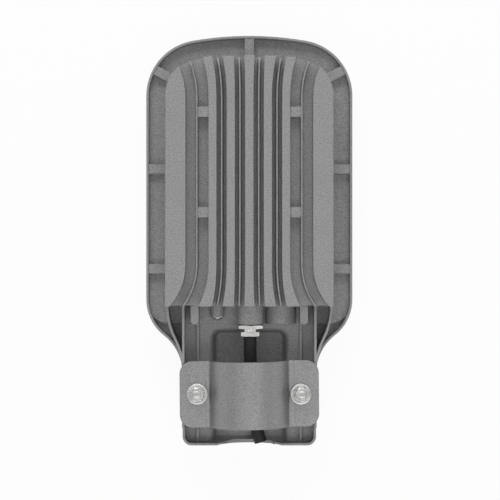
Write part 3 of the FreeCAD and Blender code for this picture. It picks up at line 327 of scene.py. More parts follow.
powderLook = {
    "grainDetail": 3,
    "grainRoughness": 0.62,
    "cloudSize": 38,
    "contrastGain": 4,
    "grainRange": (0.3, 0.7),
    "roughnessRange": (0.64, 0.5)}


def powderGrainGroup():
    # sand-texture powder coat: fine grains that lighten and darken the grey, with bumps to match
    look = powderLook
    group, start, end = newGroup("powderGrain", [
        ("Grey", "NodeSocketColor", (0.28, 0.28, 0.28, 1)),
        ("Grain Size", "NodeSocketFloat", 900.0),
        ("Contrast", "NodeSocketFloat", 0.3),
        ("Cloud", "NodeSocketFloat", 0.06),
        ("Gloss", "NodeSocketFloat", 0.0)], surfaceOutputs)
    link = group.links.new
    place = group.nodes.new("ShaderNodeTexCoord").outputs["Object"]
    grain = noiseNode(group, place, look["grainDetail"], look["grainRoughness"])
    link(start.outputs["Grain Size"], grain.inputs["Scale"])
    cloud = noiseNode(group, place)
    cloud.inputs["Scale"].default_value = look["cloudSize"]
    centred = worked(group, "SUBTRACT", grain.outputs["Fac"], 0.5)
    strength = worked(group, "MULTIPLY", start.outputs["Contrast"], look["contrastGain"])
    speckle = worked(group, "MULTIPLY_ADD", centred, strength, 1)
    drift = worked(group, "SUBTRACT", cloud.outputs["Fac"], 0.5)
    drifted = worked(group, "MULTIPLY_ADD", drift, start.outputs["Cloud"], speckle)
    link(tintedBy(group, start.outputs["Grey"], drifted), end.inputs["Color"])
    rough = ranged(group, grain.outputs["Fac"], *look["grainRange"], *look["roughnessRange"])
    link(worked(group, "SUBTRACT", rough, start.outputs["Gloss"]), end.inputs["Roughness"])
    link(grain.outputs["Fac"], end.inputs["Height"])
    return group


scratchLook = {
    "stretch": (1, 6, 1),
    "streakDetail": 4,
    "cloudSize": 120,
    "sumRange": (0.7, 1.3),
    "roughnessRange": (0.12, 0.28)}


def fineScratchGroup():
    # brushed or handled metal: thin streaks across a cloudy ground
    look = scratchLook
    group, start, end = newGroup("fineScratch", [
        ("Tone", "NodeSocketColor", (0.6, 0.6, 0.6, 1)),
        ("Streak Size", "NodeSocketFloat", 400.0),
        ("Depth", "NodeSocketFloat", 0.25),
        ("Gloss", "NodeSocketFloat", 0.0)], surfaceOutputs)
    link = group.links.new
    place = group.nodes.new("ShaderNodeTexCoord").outputs["Object"]
    stretch = group.nodes.new("ShaderNodeMapping")
    stretch.inputs["Scale"].default_value = look["stretch"]
    link(place, stretch.inputs["Vector"])
    streak = noiseNode(group, stretch.outputs["Vector"], look["streakDetail"])
    link(start.outputs["Streak Size"], streak.inputs["Scale"])
    cloud = noiseNode(group, place)
    cloud.inputs["Scale"].default_value = look["cloudSize"]
    both = worked(group, "ADD", streak.outputs["Fac"], cloud.outputs["Fac"])
    centred = worked(group, "SUBTRACT", both, 1)
    shade = worked(group, "MULTIPLY_ADD", centred, start.outputs["Depth"], 1)
    link(tintedBy(group, start.outputs["Tone"], shade), end.inputs["Color"])
    rough = ranged(group, both, *look["sumRange"], *look["roughnessRange"])
    link(worked(group, "SUBTRACT", rough, start.outputs["Gloss"]), end.inputs["Roughness"])
    link(streak.outputs["Fac"], end.inputs["Height"])
    return group


powderGrain = powderGrainGroup()
fineScratch = fineScratchGroup()


# materials

def newMaterial(name):
    material = bpy.data.materials.new(name)
    material.use_nodes = True
    tree = material.node_tree
    return material, tree, tree.nodes["Principled BSDF"]


def mixed(tree, share, first, second):
    # the first shader at a share of nought, the second at a share of one
    node = tree.nodes.new("ShaderNodeMixShader")
    for socket, value in zip(node.inputs, (share, first, second)):
        tree.links.new(value, socket)
    return node.outputs[0]


def placeGroup(tree, group, values):
    node = tree.nodes.new("ShaderNodeGroup")
    node.node_tree = group
    for label, value in values.items():
        node.inputs[label].default_value = value
    return node


def grainy(name, group, values, bumpDepth, metallic=0.0, specular=0.5):
    material, tree, shader = newMaterial(name)
    surface = placeGroup(tree, group, values)
    tree.links.new(surface.outputs["Color"], shader.inputs["Base Color"])
    tree.links.new(surface.outputs["Roughness"], shader.inputs["Roughness"])
    bump = tree.nodes.new("ShaderNodeBump")
    bump.inputs["Strength"].default_value = 1
    bump.inputs["Distance"].default_value = bumpDepth * mm
    tree.links.new(surface.outputs["Height"], bump.inputs["Height"])
    tree.links.new(bump.outputs["Normal"], shader.inputs["Normal"])
    shader.inputs["Metallic"].default_value = metallic
    shader.inputs["Specular IOR Level"].default_value = specular
    return material


def grey(level):
    return (level, level, level, 1)


powderCoat = grainy("powderCoat", powderGrain, {
    "Grey": grey(0.25), "Grain Size": 1080, "Contrast": 0.47, "Cloud": 0.12, "Gloss": 0.08}, bumpDepth=0.1)
platePaint = grainy("platePaint", powderGrain, {
    "Grey": grey(0.208), "Grain Size": 1080, "Contrast": 0.44, "Cloud": 0.12, "Gloss": 0.24},
    bumpDepth=0.05, metallic=0.45)
zincPlate = grainy("zincPlate", fineScratch, {
    "Tone": (0.345, 0.345, 0.34, 1), "Streak Size": 500, "Depth": 0.3}, bumpDepth=0.001, metallic=1)
nickelPlate = grainy("nickelPlate", fineScratch, {
    "Tone": (0.52, 0.515, 0.50, 1), "Streak Size": 650, "Depth": 0.3}, bumpDepth=0.001, metallic=1)
sheetAluminium = grainy("sheetAluminium", fineScratch, {
    "Tone": (0.50, 0.50, 0.51, 1), "Streak Size": 260, "Depth": 0.16, "Gloss": -0.22},
    bumpDepth=0.02, metallic=1)
cableSheath = grainy("cableSheath", powderGrain, {
    "Grey": grey(0.015), "Grain Size": 600, "Contrast": 0.25, "Cloud": 0.3}, bumpDepth=0.03, specular=0.25)
sealRubber = grainy("sealRubber", powderGrain, {
    "Grey": grey(0.022), "Grain Size": 1200, "Contrast": 0.3, "Cloud": 0.3}, bumpDepth=0.03, specular=0.3)
whiteBoard = grainy("whiteBoard", powderGrain, {
    "Grey": grey(0.78), "Grain Size": 500, "Contrast": 0.03, "Cloud": 0.05}, bumpDepth=0.01)
mouldedIvory = grainy("mouldedIvory", powderGrain, {
    "Grey": (0.70, 0.68, 0.60, 1), "Grain Size": 900, "Contrast": 0.04, "Cloud": 0.05}, bumpDepth=0.02)
coreInsulation = grainy("coreInsulation", powderGrain, {
    "Grey": (0.36, 0.05, 0.035, 1), "Grain Size": 700, "Contrast": 0.08, "Cloud": 0.1}, bumpDepth=0.01)
phosphor = grainy("phosphor", powderGrain, {
    "Grey": (0.86, 0.66, 0.10, 1), "Grain Size": 2400, "Contrast": 0.12, "Cloud": 0.05},
    bumpDepth=0.01, specular=0.6)


def clearMaterial(name, tint, roughness, ior):
    # lets light through to what lies behind it
    material, tree, shader = newMaterial(name)
    shader.inputs["Base Color"].default_value = tint
    shader.inputs["Roughness"].default_value = roughness
    shader.inputs["Transmission Weight"].default_value = 1
    shader.inputs["IOR"].default_value = ior
    rays = tree.nodes.new("ShaderNodeLightPath")
    passing = tree.nodes.new("ShaderNodeBsdfTransparent")
    surface = mixed(tree, rays.outputs["Is Shadow Ray"], shader.outputs[0], passing.outputs[0])
    tree.links.new(surface, tree.nodes["Material Output"].inputs["Surface"])
    return material


clearGlass = clearMaterial("clearGlass", tint=(0.95, 0.975, 0.965, 1), roughness=0.02, ior=1.5)
clearLens = clearMaterial("clearLens", tint=(0.97, 0.975, 0.975, 1), roughness=0.04, ior=1.46)

nodeMaterials = {
    "housing": powderCoat, "clamp_plate": powderCoat,
    "clamp_screws": zincPlate, "spring_washers": zincPlate, "flat_washers": zincPlate,
    "earth_washer": zincPlate, "earth_screw": zincPlate, "frame_screws": zincPlate,
    "tray_screws": zincPlate, "board_screws": zincPlate, "driver_screws": zincPlate,
    "gland_body": nickelPlate, "gland_nut": nickelPlate,
    "gland_gasket": sealRubber, "gland_seal": sealRubber, "window_gasket": sealRubber,
    "gland_cable": cableSheath, "mains_cable": cableSheath,
    "cable_cores": coreInsulation, "driver_leads": coreInsulation, "led_leads": coreInsulation,
    "window_frame": sheetAluminium, "gear_tray": sheetAluminium, "driver": sheetAluminium,
    "window_glass": clearGlass, "lens_sheet": clearLens, "led_board": whiteBoard,
    "led_packages": phosphor, "terminal_block": mouldedIvory}
for nodeName, material in nodeMaterials.items():
    nodes[nodeName].data.materials.clear()
    nodes[nodeName].data.materials.append(material)
print("materials made")


# casting and bent plate

casting = {
    "edge": 0.4,
    "grooveEdge": 2.6,
    "noseEdge": 0.9,
    "shoulder": 17.5,
    "grooveHalf": 28.1,
    "grooveFront": -67.3,
    "ridgeTop": 51.0,
    "noseArc": 400.0,
    "noseArcAt": -264.2,
    "cornerArc": 28.0,
    "cornerAt": (33.9, 106.25),
    "levelSlack": 0.05,
    "arcSlack": 0.1}


def grooveEdge(start, end):
    # the upper edge of the cable groove between the shoulders
    for point in (start, end):
        x, y, z = point / mm
        level = abs(z - casting["shoulder"]) <= casting["levelSlack"]
        if not level or abs(x) > casting["grooveHalf"] or y > casting["grooveFront"]:
            return False
    return True


def noseEdge(start, end):
    # the upper edge of the finned block round its nose: a wide arc between two corner arcs
    across, along = casting["cornerAt"]
    meeting = across * casting["noseArc"] / (casting["noseArc"] - casting["cornerArc"])
    for point in (start, end):
        x, y, z = point / mm
        level = abs(z - casting["ridgeTop"]) <= casting["levelSlack"]
        if abs(x) > meeting:
            off = math.hypot(abs(x) - across, y - along) - casting["cornerArc"]
        else:
            off = math.hypot(x, y - casting["noseArcAt"]) - casting["noseArc"]
        if not level or abs(off) > casting["arcSlack"] or y < along:
            return False
    return True


housingCast = softened("housing", "housingCast", casting["edge"], "powder_coat", powderCoat,
                       rounds=((grooveEdge, casting["grooveEdge"]), (noseEdge, casting["noseEdge"])))
print("casting softened:", len(housingCast.data.polygons), "faces")


# clamp plate: bent sheet, with a press mark beside each bend, turned a little within its bolt holes

clampPlate = {
    "edge": 0.45,
    "markAt": 33.0,
    "markHalf": 1.1,
    "markDepth": 0.3,
    "markSlack": 0.01,
    "turn": 0.55}


def pressMarks(plate):
    # runs in edit mode, before the edges are rounded
    low, high = spanOf("clamp_plate")
    middle = (low.x + high.x) / 2
    for side in (-1, 1):
        for offset in (-clampPlate["markHalf"], 0, clampPlate["markHalf"]):
            bpy.ops.mesh.select_all(action="SELECT")
            at = middle + side * (clampPlate["markAt"] + offset)
            bpy.ops.mesh.bisect(plane_co=(at * mm, 0, 0), plane_no=(1, 0, 0))
    bpy.ops.object.mode_set(mode="OBJECT")
    for point in plate.data.vertices:
        fromMark = abs(abs(point.co.x / mm - middle) - clampPlate["markAt"])
        if fromMark < clampPlate["markSlack"] and point.normal.z > 0.5:
            point.co.z -= clampPlate["markDepth"] * mm
    bpy.ops.object.mode_set(mode="EDIT")
    bpy.ops.mesh.select_all(action="SELECT")


def makeClampPlate():
    plate = softened("clamp_plate", "clampPlateBent", clampPlate["edge"], "powder_coat", platePaint,
                     shape=pressMarks)
    low, high = spanOf("clamp_plate")
    middle = (low + high) / 2
    pick(plate)
    plate.location = middle.xy.to_3d() * -mm
    bpy.ops.object.transform_apply(location=True, rotation=True, scale=True)
    plate.rotation_euler = (0, 0, math.radians(clampPlate["turn"]))
    plate.location = middle.xy.to_3d() * mm
    bpy.ops.object.transform_apply(location=True, rotation=True, scale=True)


makeClampPlate()
print("clamp plate made")


# lighting side: window, lens sheet, light sources and board

lightUnit = {
    "frameEdge": 0.4,
    "paneEdge": 0.3,
    "sealEdge": 0.25,
    "boardEdge": 0.12,
    "trayEdge": 0.3,
    "lensEdge": 0.15,
    "lensAngle": 80,
    "domeTip": 6.45,
    "domeRound": 1.7,
    "chipEdge": 0.08,
    "chipFrame": 0.4,
    "chipSink": 0.12,
    "chipSlack": 0.02}


def domeLids(sheet):
    # one face on each dome's flat end, so that only its rim is rounded
    selectFaces(sheet, lambda face: face.normal.z < -0.99 and face.center.z < lightUnit["domeTip"] * mm)
    bpy.ops.mesh.dissolve_limited(angle_limit=math.radians(1))


def domeEdge(start, end):
    return max(start.z, end.z) < lightUnit["domeTip"] * mm


def makeLightSources():
    # white frames with the phosphor filling a shallow well in each
    shape = lightUnit
    frames = softened("led_packages", "ledFrames", shape["chipEdge"], "led_yellow", phosphor)
    low, high = spanOf("led_packages")
    bottom = (low.z + shape["chipSlack"]) * mm
    edit(frames, "FACE")
    selectFaces(frames, lambda face: face.normal.z < -0.99 and face.center.z < bottom)
    bpy.ops.mesh.dissolve_limited(angle_limit=math.radians(1))
    bpy.ops.mesh.inset(thickness=shape["chipFrame"] * mm, use_individual=True)
    bpy.ops.transform.translate(value=(0, 0, shape["chipSink"] * mm))
    frames.data.materials.append(whiteBoard)
    done()
    wellLevel = (low.z + shape["chipSink"] - shape["chipSlack"]) * mm
    for face in frames.data.polygons:
        well = face.normal.z < -0.99 and face.center.z > wellLevel
        face.material_index = 0 if well else 1


def makeLightingSide():
    shape = lightUnit
    softened("window_frame", "windowFrame", shape["frameEdge"], "aluminium", sheetAluminium)
    softened("window_glass", "windowPane", shape["paneEdge"], "window_glass", clearGlass)
    softened("window_gasket", "windowSeal", shape["sealEdge"], "black_rubber", sealRubber)
    softened("lens_sheet", "lensDomes", shape["lensEdge"], "lens_plastic", clearLens,
             angle=shape["lensAngle"], rounds=((domeEdge, shape["domeRound"]),), shape=domeLids)
    softened("led_board", "ledBoardSheet", shape["boardEdge"], "white_board", whiteBoard)
    softened("gear_tray", "gearTraySheet", shape["trayEdge"], "aluminium", sheetAluminium)
    makeLightSources()


makeLightingSide()
print("lighting side made")


# clamp screws with their washers

clampBolt = {
    "flats": 10.0,
    "headHeight": 4.0,
    "crown": 4.75,
    "edge": 0.12,
    "dishRadius": 3.3,
    "dishSlope": 0.5,
    "dishDepth": 0.35,
    "shank": 3.0,
    "point": (0.6, 0.5),
    "plain": 0.5,
    "pitch": 1.0,
    "threadDepth": 0.3,
    "turns": (11, 34),
    "drift": (-0.3, 0.4)}
springWasher = {"inner": 3.2, "outer": 5.9, "edge": 0.25, "gap": 9.0, "gapTurns": (-50, 140)}
flatWasher = {"inner": 3.4, "edge": 0.62, "drift": (0.0, -0.4)}
cutPast = 0.2  # how far a cutting shape reaches past what it cuts

washerLow, washerHigh = spanOf("flat_washers")
springLow, springHigh = spanOf("spring_washers")
screwLow, screwHigh = spanOf("clamp_screws")
washerOuter = (washerHigh.y - washerLow.y) / 2
boltX = washerHigh.x - washerOuter
boltY = (washerHigh.y + washerLow.y) / 2
boltSides = (("Left", -boltX, 0), ("Right", boltX, 1))


def makeClampBolt():
    shape = clampBolt
    top = screwHigh.z
    under = top - shape["headHeight"]
    widest = shape["crown"] + shape["headHeight"] * math.sqrt(3)
    head = hexagonBar("boltHead", shape["flats"], under, top)
    crown = turned("boltCrown", [(0, under), (widest, under), (shape["crown"], top), (0, top)])
    combined(head, crown, "INTERSECT")
    floor = top - shape["dishDepth"]
    dish = turned("boltDish", [(0, floor), (shape["dishRadius"] - shape["dishSlope"], floor),
                               (shape["dishRadius"], top + cutPast), (0, top + cutPast)])
    combined(head, dish, "DIFFERENCE")
    rounded(head, shape["edge"], 2, 25)
    radius = shape["shank"]
    pointIn, pointUp = shape["point"]
    tip = screwLow.z
    thread = threaded(radius, shape["threadDepth"], tip + pointUp, under - shape["plain"], shape["pitch"])
    outline = [(0, tip), (radius - pointIn, tip)] + thread + [(radius, under), (0, under)]
    return joined("clampBolt", [head, turned("boltShank", outline, 32)])


def makeSpringWasher(turn):
    shape = springWasher
    width = shape["outer"] - shape["inner"]
    deselectAll()
    bpy.ops.mesh.primitive_plane_add(size=1, rotation=(math.pi / 2, 0, 0), location=(
        (shape["inner"] + width / 2) * mm, 0, (springLow.z + springHigh.z) / 2 * mm))
    ring = bpy.context.object
    ring.scale = (width * mm, (springHigh.z - springLow.z) * mm, 1)
    bpy.ops.object.transform_apply(location=True, rotation=True, scale=True)
    bpy.ops.object.mode_set(mode="EDIT")
    bpy.ops.mesh.select_all(action="SELECT")
    bpy.ops.mesh.spin(steps=60, angle=math.radians(360 - shape["gap"]), center=(0, 0, 0), axis=(0, 0, 1))
    bpy.ops.mesh.select_all(action="SELECT")
    bpy.ops.mesh.normals_make_consistent(inside=False)
    done()
    ring.rotation_euler = (0, 0, math.radians(turn))
    bpy.ops.object.transform_apply(location=True, rotation=True, scale=True)
    return rounded(ring, shape["edge"], 3)


def makeFlatWasher():
    inner = flatWasher["inner"]
    low, high = washerLow.z, washerHigh.z
    ring = turned("flatWasher", [
        (inner, low), (washerOuter, low), (washerOuter, high), (inner, high), (inner, low)], 96)
    return rounded(ring, flatWasher["edge"], 4)


def makeClampHardware():
    bolt = makeClampBolt()
    washer = makeFlatWasher()
    screws, springs, washers = [], [], []
    for side, x, which in boltSides:
        screw = copyOf(bolt, "clampBolt" + side, (x + clampBolt["drift"][which], boltY, 0))
        screw.rotation_euler = (0, 0, math.radians(clampBolt["turns"][which]))
        screws.append(screw)
        spring = makeSpringWasher(springWasher["gapTurns"][which])
        spring.location = Vector((x + clampBolt["drift"][which], boltY, 0)) * mm
        springs.append(spring)
        washers.append(copyOf(washer, "flatWasher" + side, (x + flatWasher["drift"][which], boltY, 0)))
    bpy.data.objects.remove(bolt, do_unlink=True)
    bpy.data.objects.remove(washer, do_unlink=True)
    for name, parts, node in (
            ("clampBolts", screws, "clamp_screws"),
            ("springWashers", springs, "spring_washers"),
            ("flatWashers", washers, "flat_washers")):
        finishPiece(joined(name, parts), name, "zinc_steel", zincPlate, node)


makeClampHardware()
print("clamp screws and washers made")


# cable gland: six-sided body, thread and cap nut, laid along the cable

gland = {
    "flats": 18.4,
    "flange": 2.8,
    "flangeChamfer": 0.25,
    "flangeTurn": -5.8,
    "flangeEdge": 0.15,
    "collar": 6.1,
    "stem": 6.0,
    "stemPitch": 1.0,
    "neck": 5.6,
    "neckPitch": 0.7,
    "neckStart": 0.2,
    "threadDepth": 0.35,
    "bore": 4.95,
    "nutFlats": 13.7,
    "nutEdge": 0.16,
    "nutFoot": 0.35,
    "nutDome": (0.7, 0.4, 0.2, 0.4),
    "nutEnd": 1.1,
    "trim": 0.1,
    "steps": 48,
    "limitSteps": 72}
bodyLow, bodyHigh = spanOf("gland_body")
nutLow, nutHigh = spanOf("gland_nut")
sealLow, sealHigh = spanOf("gland_gasket")
glandX = (nutLow.x + nutHigh.x) / 2
glandZ = (nutLow.z + nutHigh.z) / 2


def laid(obj):
    # stands a piece that was made upright along the gland's axis, its height towards the tail
    obj.rotation_euler = (math.pi / 2, 0, 0)
    obj.location = (glandX * mm, 0, glandZ * mm)
    return obj


def makeFlange(seat, front):
    # a hexagon with its corners turned off at both ends
    shape = gland
    bar = hexagonBar("glandFlange", shape["flats"], seat, front, shape["flangeTurn"])
    corner = shape["flats"] / math.sqrt(3)
    edge = shape["flats"] / 2 - shape["trim"]
    rise = (corner - edge) * shape["flangeChamfer"]
    outer = corner + shape["trim"]
    limit = turned("limit", [
        (0, seat), (edge, seat), (outer, seat + rise), (outer, front - rise), (edge, front), (0, front)],
        shape["limitSteps"])
    combined(bar, limit, "INTERSECT")
    return rounded(bar, shape["flangeEdge"], 2, 25)


def makeGland():
    shape = gland
    back, seat, end = -bodyHigh.y, -sealLow.y, -bodyLow.y
    front = seat + shape["flange"]
    nutStart = -nutHigh.y
    bore, depth = shape["bore"], shape["threadDepth"]
    flange = makeFlange(seat, front)
    stem = turned("glandStem", [(bore, back)]
                  + threaded(shape["stem"], depth, back, seat, shape["stemPitch"])
                  + [(shape["stem"], seat), (shape["stem"], front), (shape["collar"], front),
                     (shape["collar"], nutStart)]
                  + threaded(shape["neck"], depth, nutStart + shape["neckStart"], end, shape["neckPitch"])
                  + [(bore, end), (bore, back)], shape["steps"])
    body = combined(flange, stem, "UNION")
    core = turned("glandBore", [
        (0, back - 1), (bore, back - 1), (bore, end + 1), (0, end + 1)], shape["steps"])
    combined(body, core, "DIFFERENCE")
    smoothed(body)
    finishPiece(laid(body), "glandBody", "nickel_brass", nickelPlate, "gland_body")


def makeGlandNut():
    shape = gland
    low, high = -nutHigh.y, -nutLow.y
    flats, bore, neck = shape["nutFlats"], shape["bore"], shape["neck"]
    corner = flats / math.sqrt(3) + shape["trim"]
    cornerDrop, flatDrop, flatIn, mouthOut = shape["nutDome"]
    nut = hexagonBar("glandNut", flats, low, high)
    limit = turned("limit", [
        (0, low), (flats / 2 - shape["trim"], low), (corner, low + shape["nutFoot"]),
        (corner, high - cornerDrop), (flats / 2 - flatIn, high - flatDrop), (neck + mouthOut, high),
        (0, high)], shape["limitSteps"])
    combined(nut, limit, "INTERSECT")
    lip = high - shape["nutEnd"]
    mouth = turned("mouth", [
        (0, low - 1), (neck, low - 1), (neck, lip), (bore, lip), (bore, high + 1), (0, high + 1)],
        shape["steps"])
    combined(nut, mouth, "DIFFERENCE")
    rounded(nut, shape["nutEdge"], 2, 25)
    finishPiece(laid(nut), "glandNut", "nickel_brass", nickelPlate, "gland_nut")


makeGland()
makeGlandNut()
print("gland made")


# small screws with a cross recess: sizes in millimetres, and shares of the head or the thread

smallScrews = {
    "frameScrews": {"node": "frame_screws", "radius": 1.5, "head": 2.9, "headHeight": 1.8},
    "trayScrews": {"node": "tray_screws", "radius": 2.0, "head": 3.5, "headHeight": 2.2},
    "boardScrews": {"node": "board_screws", "radius": 1.5, "head": 2.7, "headHeight": 1.6}}
screwShape = {
    "crown": 0.45,
    "crownFlat": (0.55, 0.06),
    "crownRound": (0.86, 0.55),
    "crownFoot": 1.3,
    "recessWidth": 0.28,
    "recessReach": 0.62,
    "recessDepth": 0.55,
    "threadDepth": 0.12,
    "threadPitch": 0.35,
    "threadStart": 0.3,
    "taper": 0.4,
    "tip": 0.5,
    "turnEach": 0.9,
    "steps": 24}


def crossHeadScrew(name, radius, head, headLow, headHigh, tip):
    # head at the bottom, point at the top; sizes as the frame part has them
    shape = screwShape
    headHeight = headHigh - headLow
    crown = headHeight * shape["crown"]
    flatShare, flatUp = shape["crownFlat"]
    roundShare, roundUp = shape["crownRound"]
    body = turned(name, [
        (0, headLow), (head * flatShare, headLow + flatUp), (head * roundShare, headLow + crown * roundUp),
        (head, headLow + crown * shape["crownFoot"]), (head, headHigh), (radius, headHigh)]
        + threaded(radius, radius * shape["threadDepth"], headHigh + shape["threadStart"],
                   tip - radius * shape["taper"], radius * shape["threadPitch"])
        + [(radius * shape["tip"], tip), (0, tip)], shape["steps"])
    reach = head * shape["recessReach"] * 2
    depth = headHeight * shape["recessDepth"] * 2
    for turn in (0, 90):
        slot = barAdded("slot", (reach, head * shape["recessWidth"], depth), (0, 0, headLow), turn)
        combined(body, slot, "DIFFERENCE")
    return smoothed(body)


def makeScrewSet(name):
    sizes = smallScrews[name]
    node = sizes["node"]
    low, high = spanOf(node)
    model = crossHeadScrew("screwModel", sizes["radius"], sizes["head"], low.z,
                           low.z + sizes["headHeight"], high.z)
    screws = []
    for number, place in enumerate(placesOf(node)):
        screw = copyOf(model, "%s%d" % (name, number), (place.x, place.y, 0))
        screw.rotation_euler = (0, 0, number * screwShape["turnEach"])
        screws.append(screw)
    bpy.data.objects.remove(model, do_unlink=True)
    finishPiece(joined(name, screws), name, "zinc_steel", zincPlate, node)


for setName in smallScrews:
    makeScrewSet(setName)
print("screw sets made")


# earth screw and its toothed washer, on the end of their boss

earthScrew = {
    "radius": 2.0,
    "head": 3.4,
    "teeth": 20,
    "toothDepth": 0.5,
    "holeRoom": 0.1,
    "edge": 0.08}
earthLow, earthHigh = spanOf("earth_screw")
discLow, discHigh = spanOf("earth_washer")
earthX = (earthLow.x + earthHigh.x) / 2
earthZ = (earthLow.z + earthHigh.z) / 2


def laidForward(obj):
    # stands a piece that was made upright on the earth boss's axis, its height towards the nose
    obj.rotation_euler = (-math.pi / 2, 0, 0)
    obj.location = (earthX * mm, 0, earthZ * mm)
    return obj


def makeEarthScrew():
    shape = earthScrew
    screw = crossHeadScrew("earthScrewHead", shape["radius"], shape["head"], earthLow.y, discLow.y,
                           earthHigh.y)
    finishPiece(laidForward(screw), "earthScrewHead", "zinc_steel", zincPlate, "earth_screw")


def makeToothedWasher():
    shape = earthScrew
    outer = (discHigh.x - discLow.x) / 2
    teeth = shape["teeth"]
    low, high = discLow.y, discHigh.y
    deselectAll()
    bpy.ops.mesh.primitive_cylinder_add(vertices=2 * teeth, radius=outer * mm, depth=(high - low) * mm,
                                        location=(0, 0, (low + high) / 2 * mm))
    disc = bpy.context.object
    bpy.ops.object.transform_apply(location=True, rotation=True, scale=True)
    for point in disc.data.vertices:
        sector = round(math.atan2(point.co.y, point.co.x) * teeth / math.pi)
        if sector % 2:
            point.co.x *= 1 - shape["toothDepth"] / outer
            point.co.y *= 1 - shape["toothDepth"] / outer
    inner = shape["radius"] + shape["holeRoom"]
    hole = turned("hole", [(0, low - 1), (inner, low - 1), (inner, high + 1), (0, high + 1)], 32)
    combined(disc, hole, "DIFFERENCE")
    rounded(disc, shape["edge"], 1, 25)
    finishPiece(laidForward(disc), "toothedWasher", "zinc_steel", zincPlate, "earth_washer")


makeEarthScrew()
makeToothedWasher()
print("earth screw made")


# mains cable: level out of the nut, down and across to the notch, the same route as the tube

cable = {
    "points": [(0.6, -72.1, 29.0), (0.6, -87.5, 29.0), (1.3, -110.5, 22.6), (3.2, -135.5, 17.6),
               (8.5, -152.0, 17.3)],
    "radius": 4.75,
    "length": 82.0,
    "steps": 24,
    "roundSteps": 8}


def makeCable():
    curve = bpy.data.curves.new("mainsCable", "CURVE")
    curve.dimensions = "3D"
    spline = curve.splines.new("NURBS")
    spline.points.add(len(cable["points"]) - 1)
    for point, place in zip(spline.points, cable["points"]):
        point.co = (place[0] * mm, place[1] * mm, place[2] * mm, 1)
    spline.order_u = 3
    spline.use_endpoint_u = True
    curve.resolution_u = cable["steps"]
    curve.bevel_depth = cable["radius"] * mm
    curve.bevel_resolution = cable["roundSteps"]
    curve.use_fill_caps = True
    obj = bpy.data.objects.new("mainsCable", curve)
    bpy.context.scene.collection.objects.link(obj)
    curve.materials.append(cableSheath)
    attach(obj, "root")
    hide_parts("mains_cable")


makeCable()
print("cable laid")


# stage, lights and camera: lengths in metres here

studio = {
    "floorSize": 6.0,
    "floorDrop": 0.0002,
    "floorGrey": 0.85,
    "floorRoughness": 0.9,
    "floorWhite": 0.92,
    "floorOpen": 0.06,
    "skyStrength": 0.42,
    "horizonStrength": 1.5,
    "horizonHeight": 0.3}
lamps = {
    "strip": {"place": (-0.02, 0.0, 1.5), "size": (0.1, 1.7), "power": 1.6},
    "left": {"place": (-1.6, 0.0, 0.35), "size": (2.4, 0.7), "power": 1.5},
    "right": {"place": (1.6, 0.0, 0.35), "size": (2.4, 0.7), "power": 1.5},
    "key": {"place": (-0.15, 1.25, 1.05), "size": (1.1, 0.6), "power": 10.5},
    "fill": {"place": (0.1, -0.75, 1.35), "size": (1.6, 0.6), "power": 6.5}}
overhead = {"lens": 110.8, "sensor": 36, "place": (0.0005, -0.00715, 1.18)}


def whiteRays(tree, rays):
    # the rays that meet the white background itself: from the camera, and through metal's gloss or glass
    glossy, through = rays.outputs["Is Glossy Ray"], rays.outputs["Is Transmission Ray"]
    mirrored = worked(tree, "MAXIMUM", glossy, through)
    return worked(tree, "MAXIMUM", rays.outputs["Is Camera Ray"], mirrored)


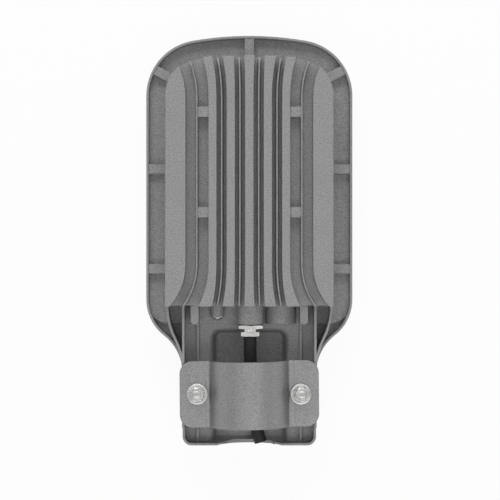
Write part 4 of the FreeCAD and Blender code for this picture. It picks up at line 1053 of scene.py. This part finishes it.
def makeFloor():
    deselectAll()
    bpy.ops.mesh.primitive_plane_add(size=studio["floorSize"], location=(0, 0, -studio["floorDrop"]))
    floor = bpy.context.object
    floor.name = "floor"
    material, tree, shader = newMaterial("paleFloor")
    shader.inputs["Base Color"].default_value = grey(studio["floorGrey"])
    shader.inputs["Roughness"].default_value = studio["floorRoughness"]
    paper = tree.nodes.new("ShaderNodeEmission")
    paper.inputs["Color"].default_value = grey(1)
    rays = tree.nodes.new("ShaderNodeLightPath")
    share = worked(tree, "MULTIPLY", whiteRays(tree, rays), studio["floorWhite"])
    lit = mixed(tree, share, shader.outputs[0], paper.outputs[0])
    # seen through from below, and open to light right under the object, so that its underside shows
    geometry = tree.nodes.new("ShaderNodeNewGeometry")
    clear = tree.nodes.new("ShaderNodeBsdfTransparent")
    near = worked(tree, "LESS_THAN", rays.outputs["Ray Length"], studio["floorOpen"])
    opened = worked(tree, "MAXIMUM", near, geometry.outputs["Backfacing"])
    sided = mixed(tree, opened, lit, clear.outputs[0])
    tree.links.new(sided, tree.nodes["Material Output"].inputs["Surface"])
    floor.data.materials.append(material)


def makeWorld():
    # brighter near the horizon than overhead, and plain white wherever it is seen
    world = bpy.data.worlds.new("studio")
    bpy.context.scene.world = world
    world.use_nodes = True
    tree = world.node_tree
    sky = tree.nodes["Background"]
    sky.inputs["Color"].default_value = grey(1)
    place = tree.nodes.new("ShaderNodeTexCoord")
    parts = tree.nodes.new("ShaderNodeSeparateXYZ")
    tree.links.new(place.outputs["Generated"], parts.inputs[0])
    strength = ranged(tree, parts.outputs["Z"], 0, studio["horizonHeight"], studio["horizonStrength"],
                      studio["skyStrength"])
    tree.links.new(strength, sky.inputs["Strength"])
    white = tree.nodes.new("ShaderNodeBackground")
    white.inputs["Color"].default_value = grey(1)
    white.inputs["Strength"].default_value = 1
    rays = tree.nodes.new("ShaderNodeLightPath")
    seen = mixed(tree, whiteRays(tree, rays), sky.outputs[0], white.outputs[0])
    tree.links.new(seen, tree.nodes["World Output"].inputs["Surface"])


def addLamp(name, place, size, power):
    # every lamp is aimed at the middle of the object
    lamp = bpy.data.lights.new(name, "AREA")
    lamp.shape = "RECTANGLE"
    lamp.size, lamp.size_y = size
    lamp.energy = power
    obj = bpy.data.objects.new(name, lamp)
    obj.location = place
    obj.rotation_euler = (-Vector(place)).to_track_quat("-Z", "Y").to_euler()
    bpy.context.scene.collection.objects.link(obj)


def makeCamera():
    # straight above the middle, nose up in the picture
    lens = bpy.data.cameras.new("overhead")
    lens.lens = overhead["lens"]
    lens.sensor_width = overhead["sensor"]
    camera = bpy.data.objects.new("overhead", lens)
    camera.location = overhead["place"]
    bpy.context.scene.collection.objects.link(camera)
    bpy.context.scene.camera = camera


makeFloor()
makeWorld()
for lampName, lampValues in lamps.items():
    addLamp(lampName + "Lamp", **lampValues)
makeCamera()
bpy.context.scene.view_settings.view_transform = "Standard"
print("studio ready")
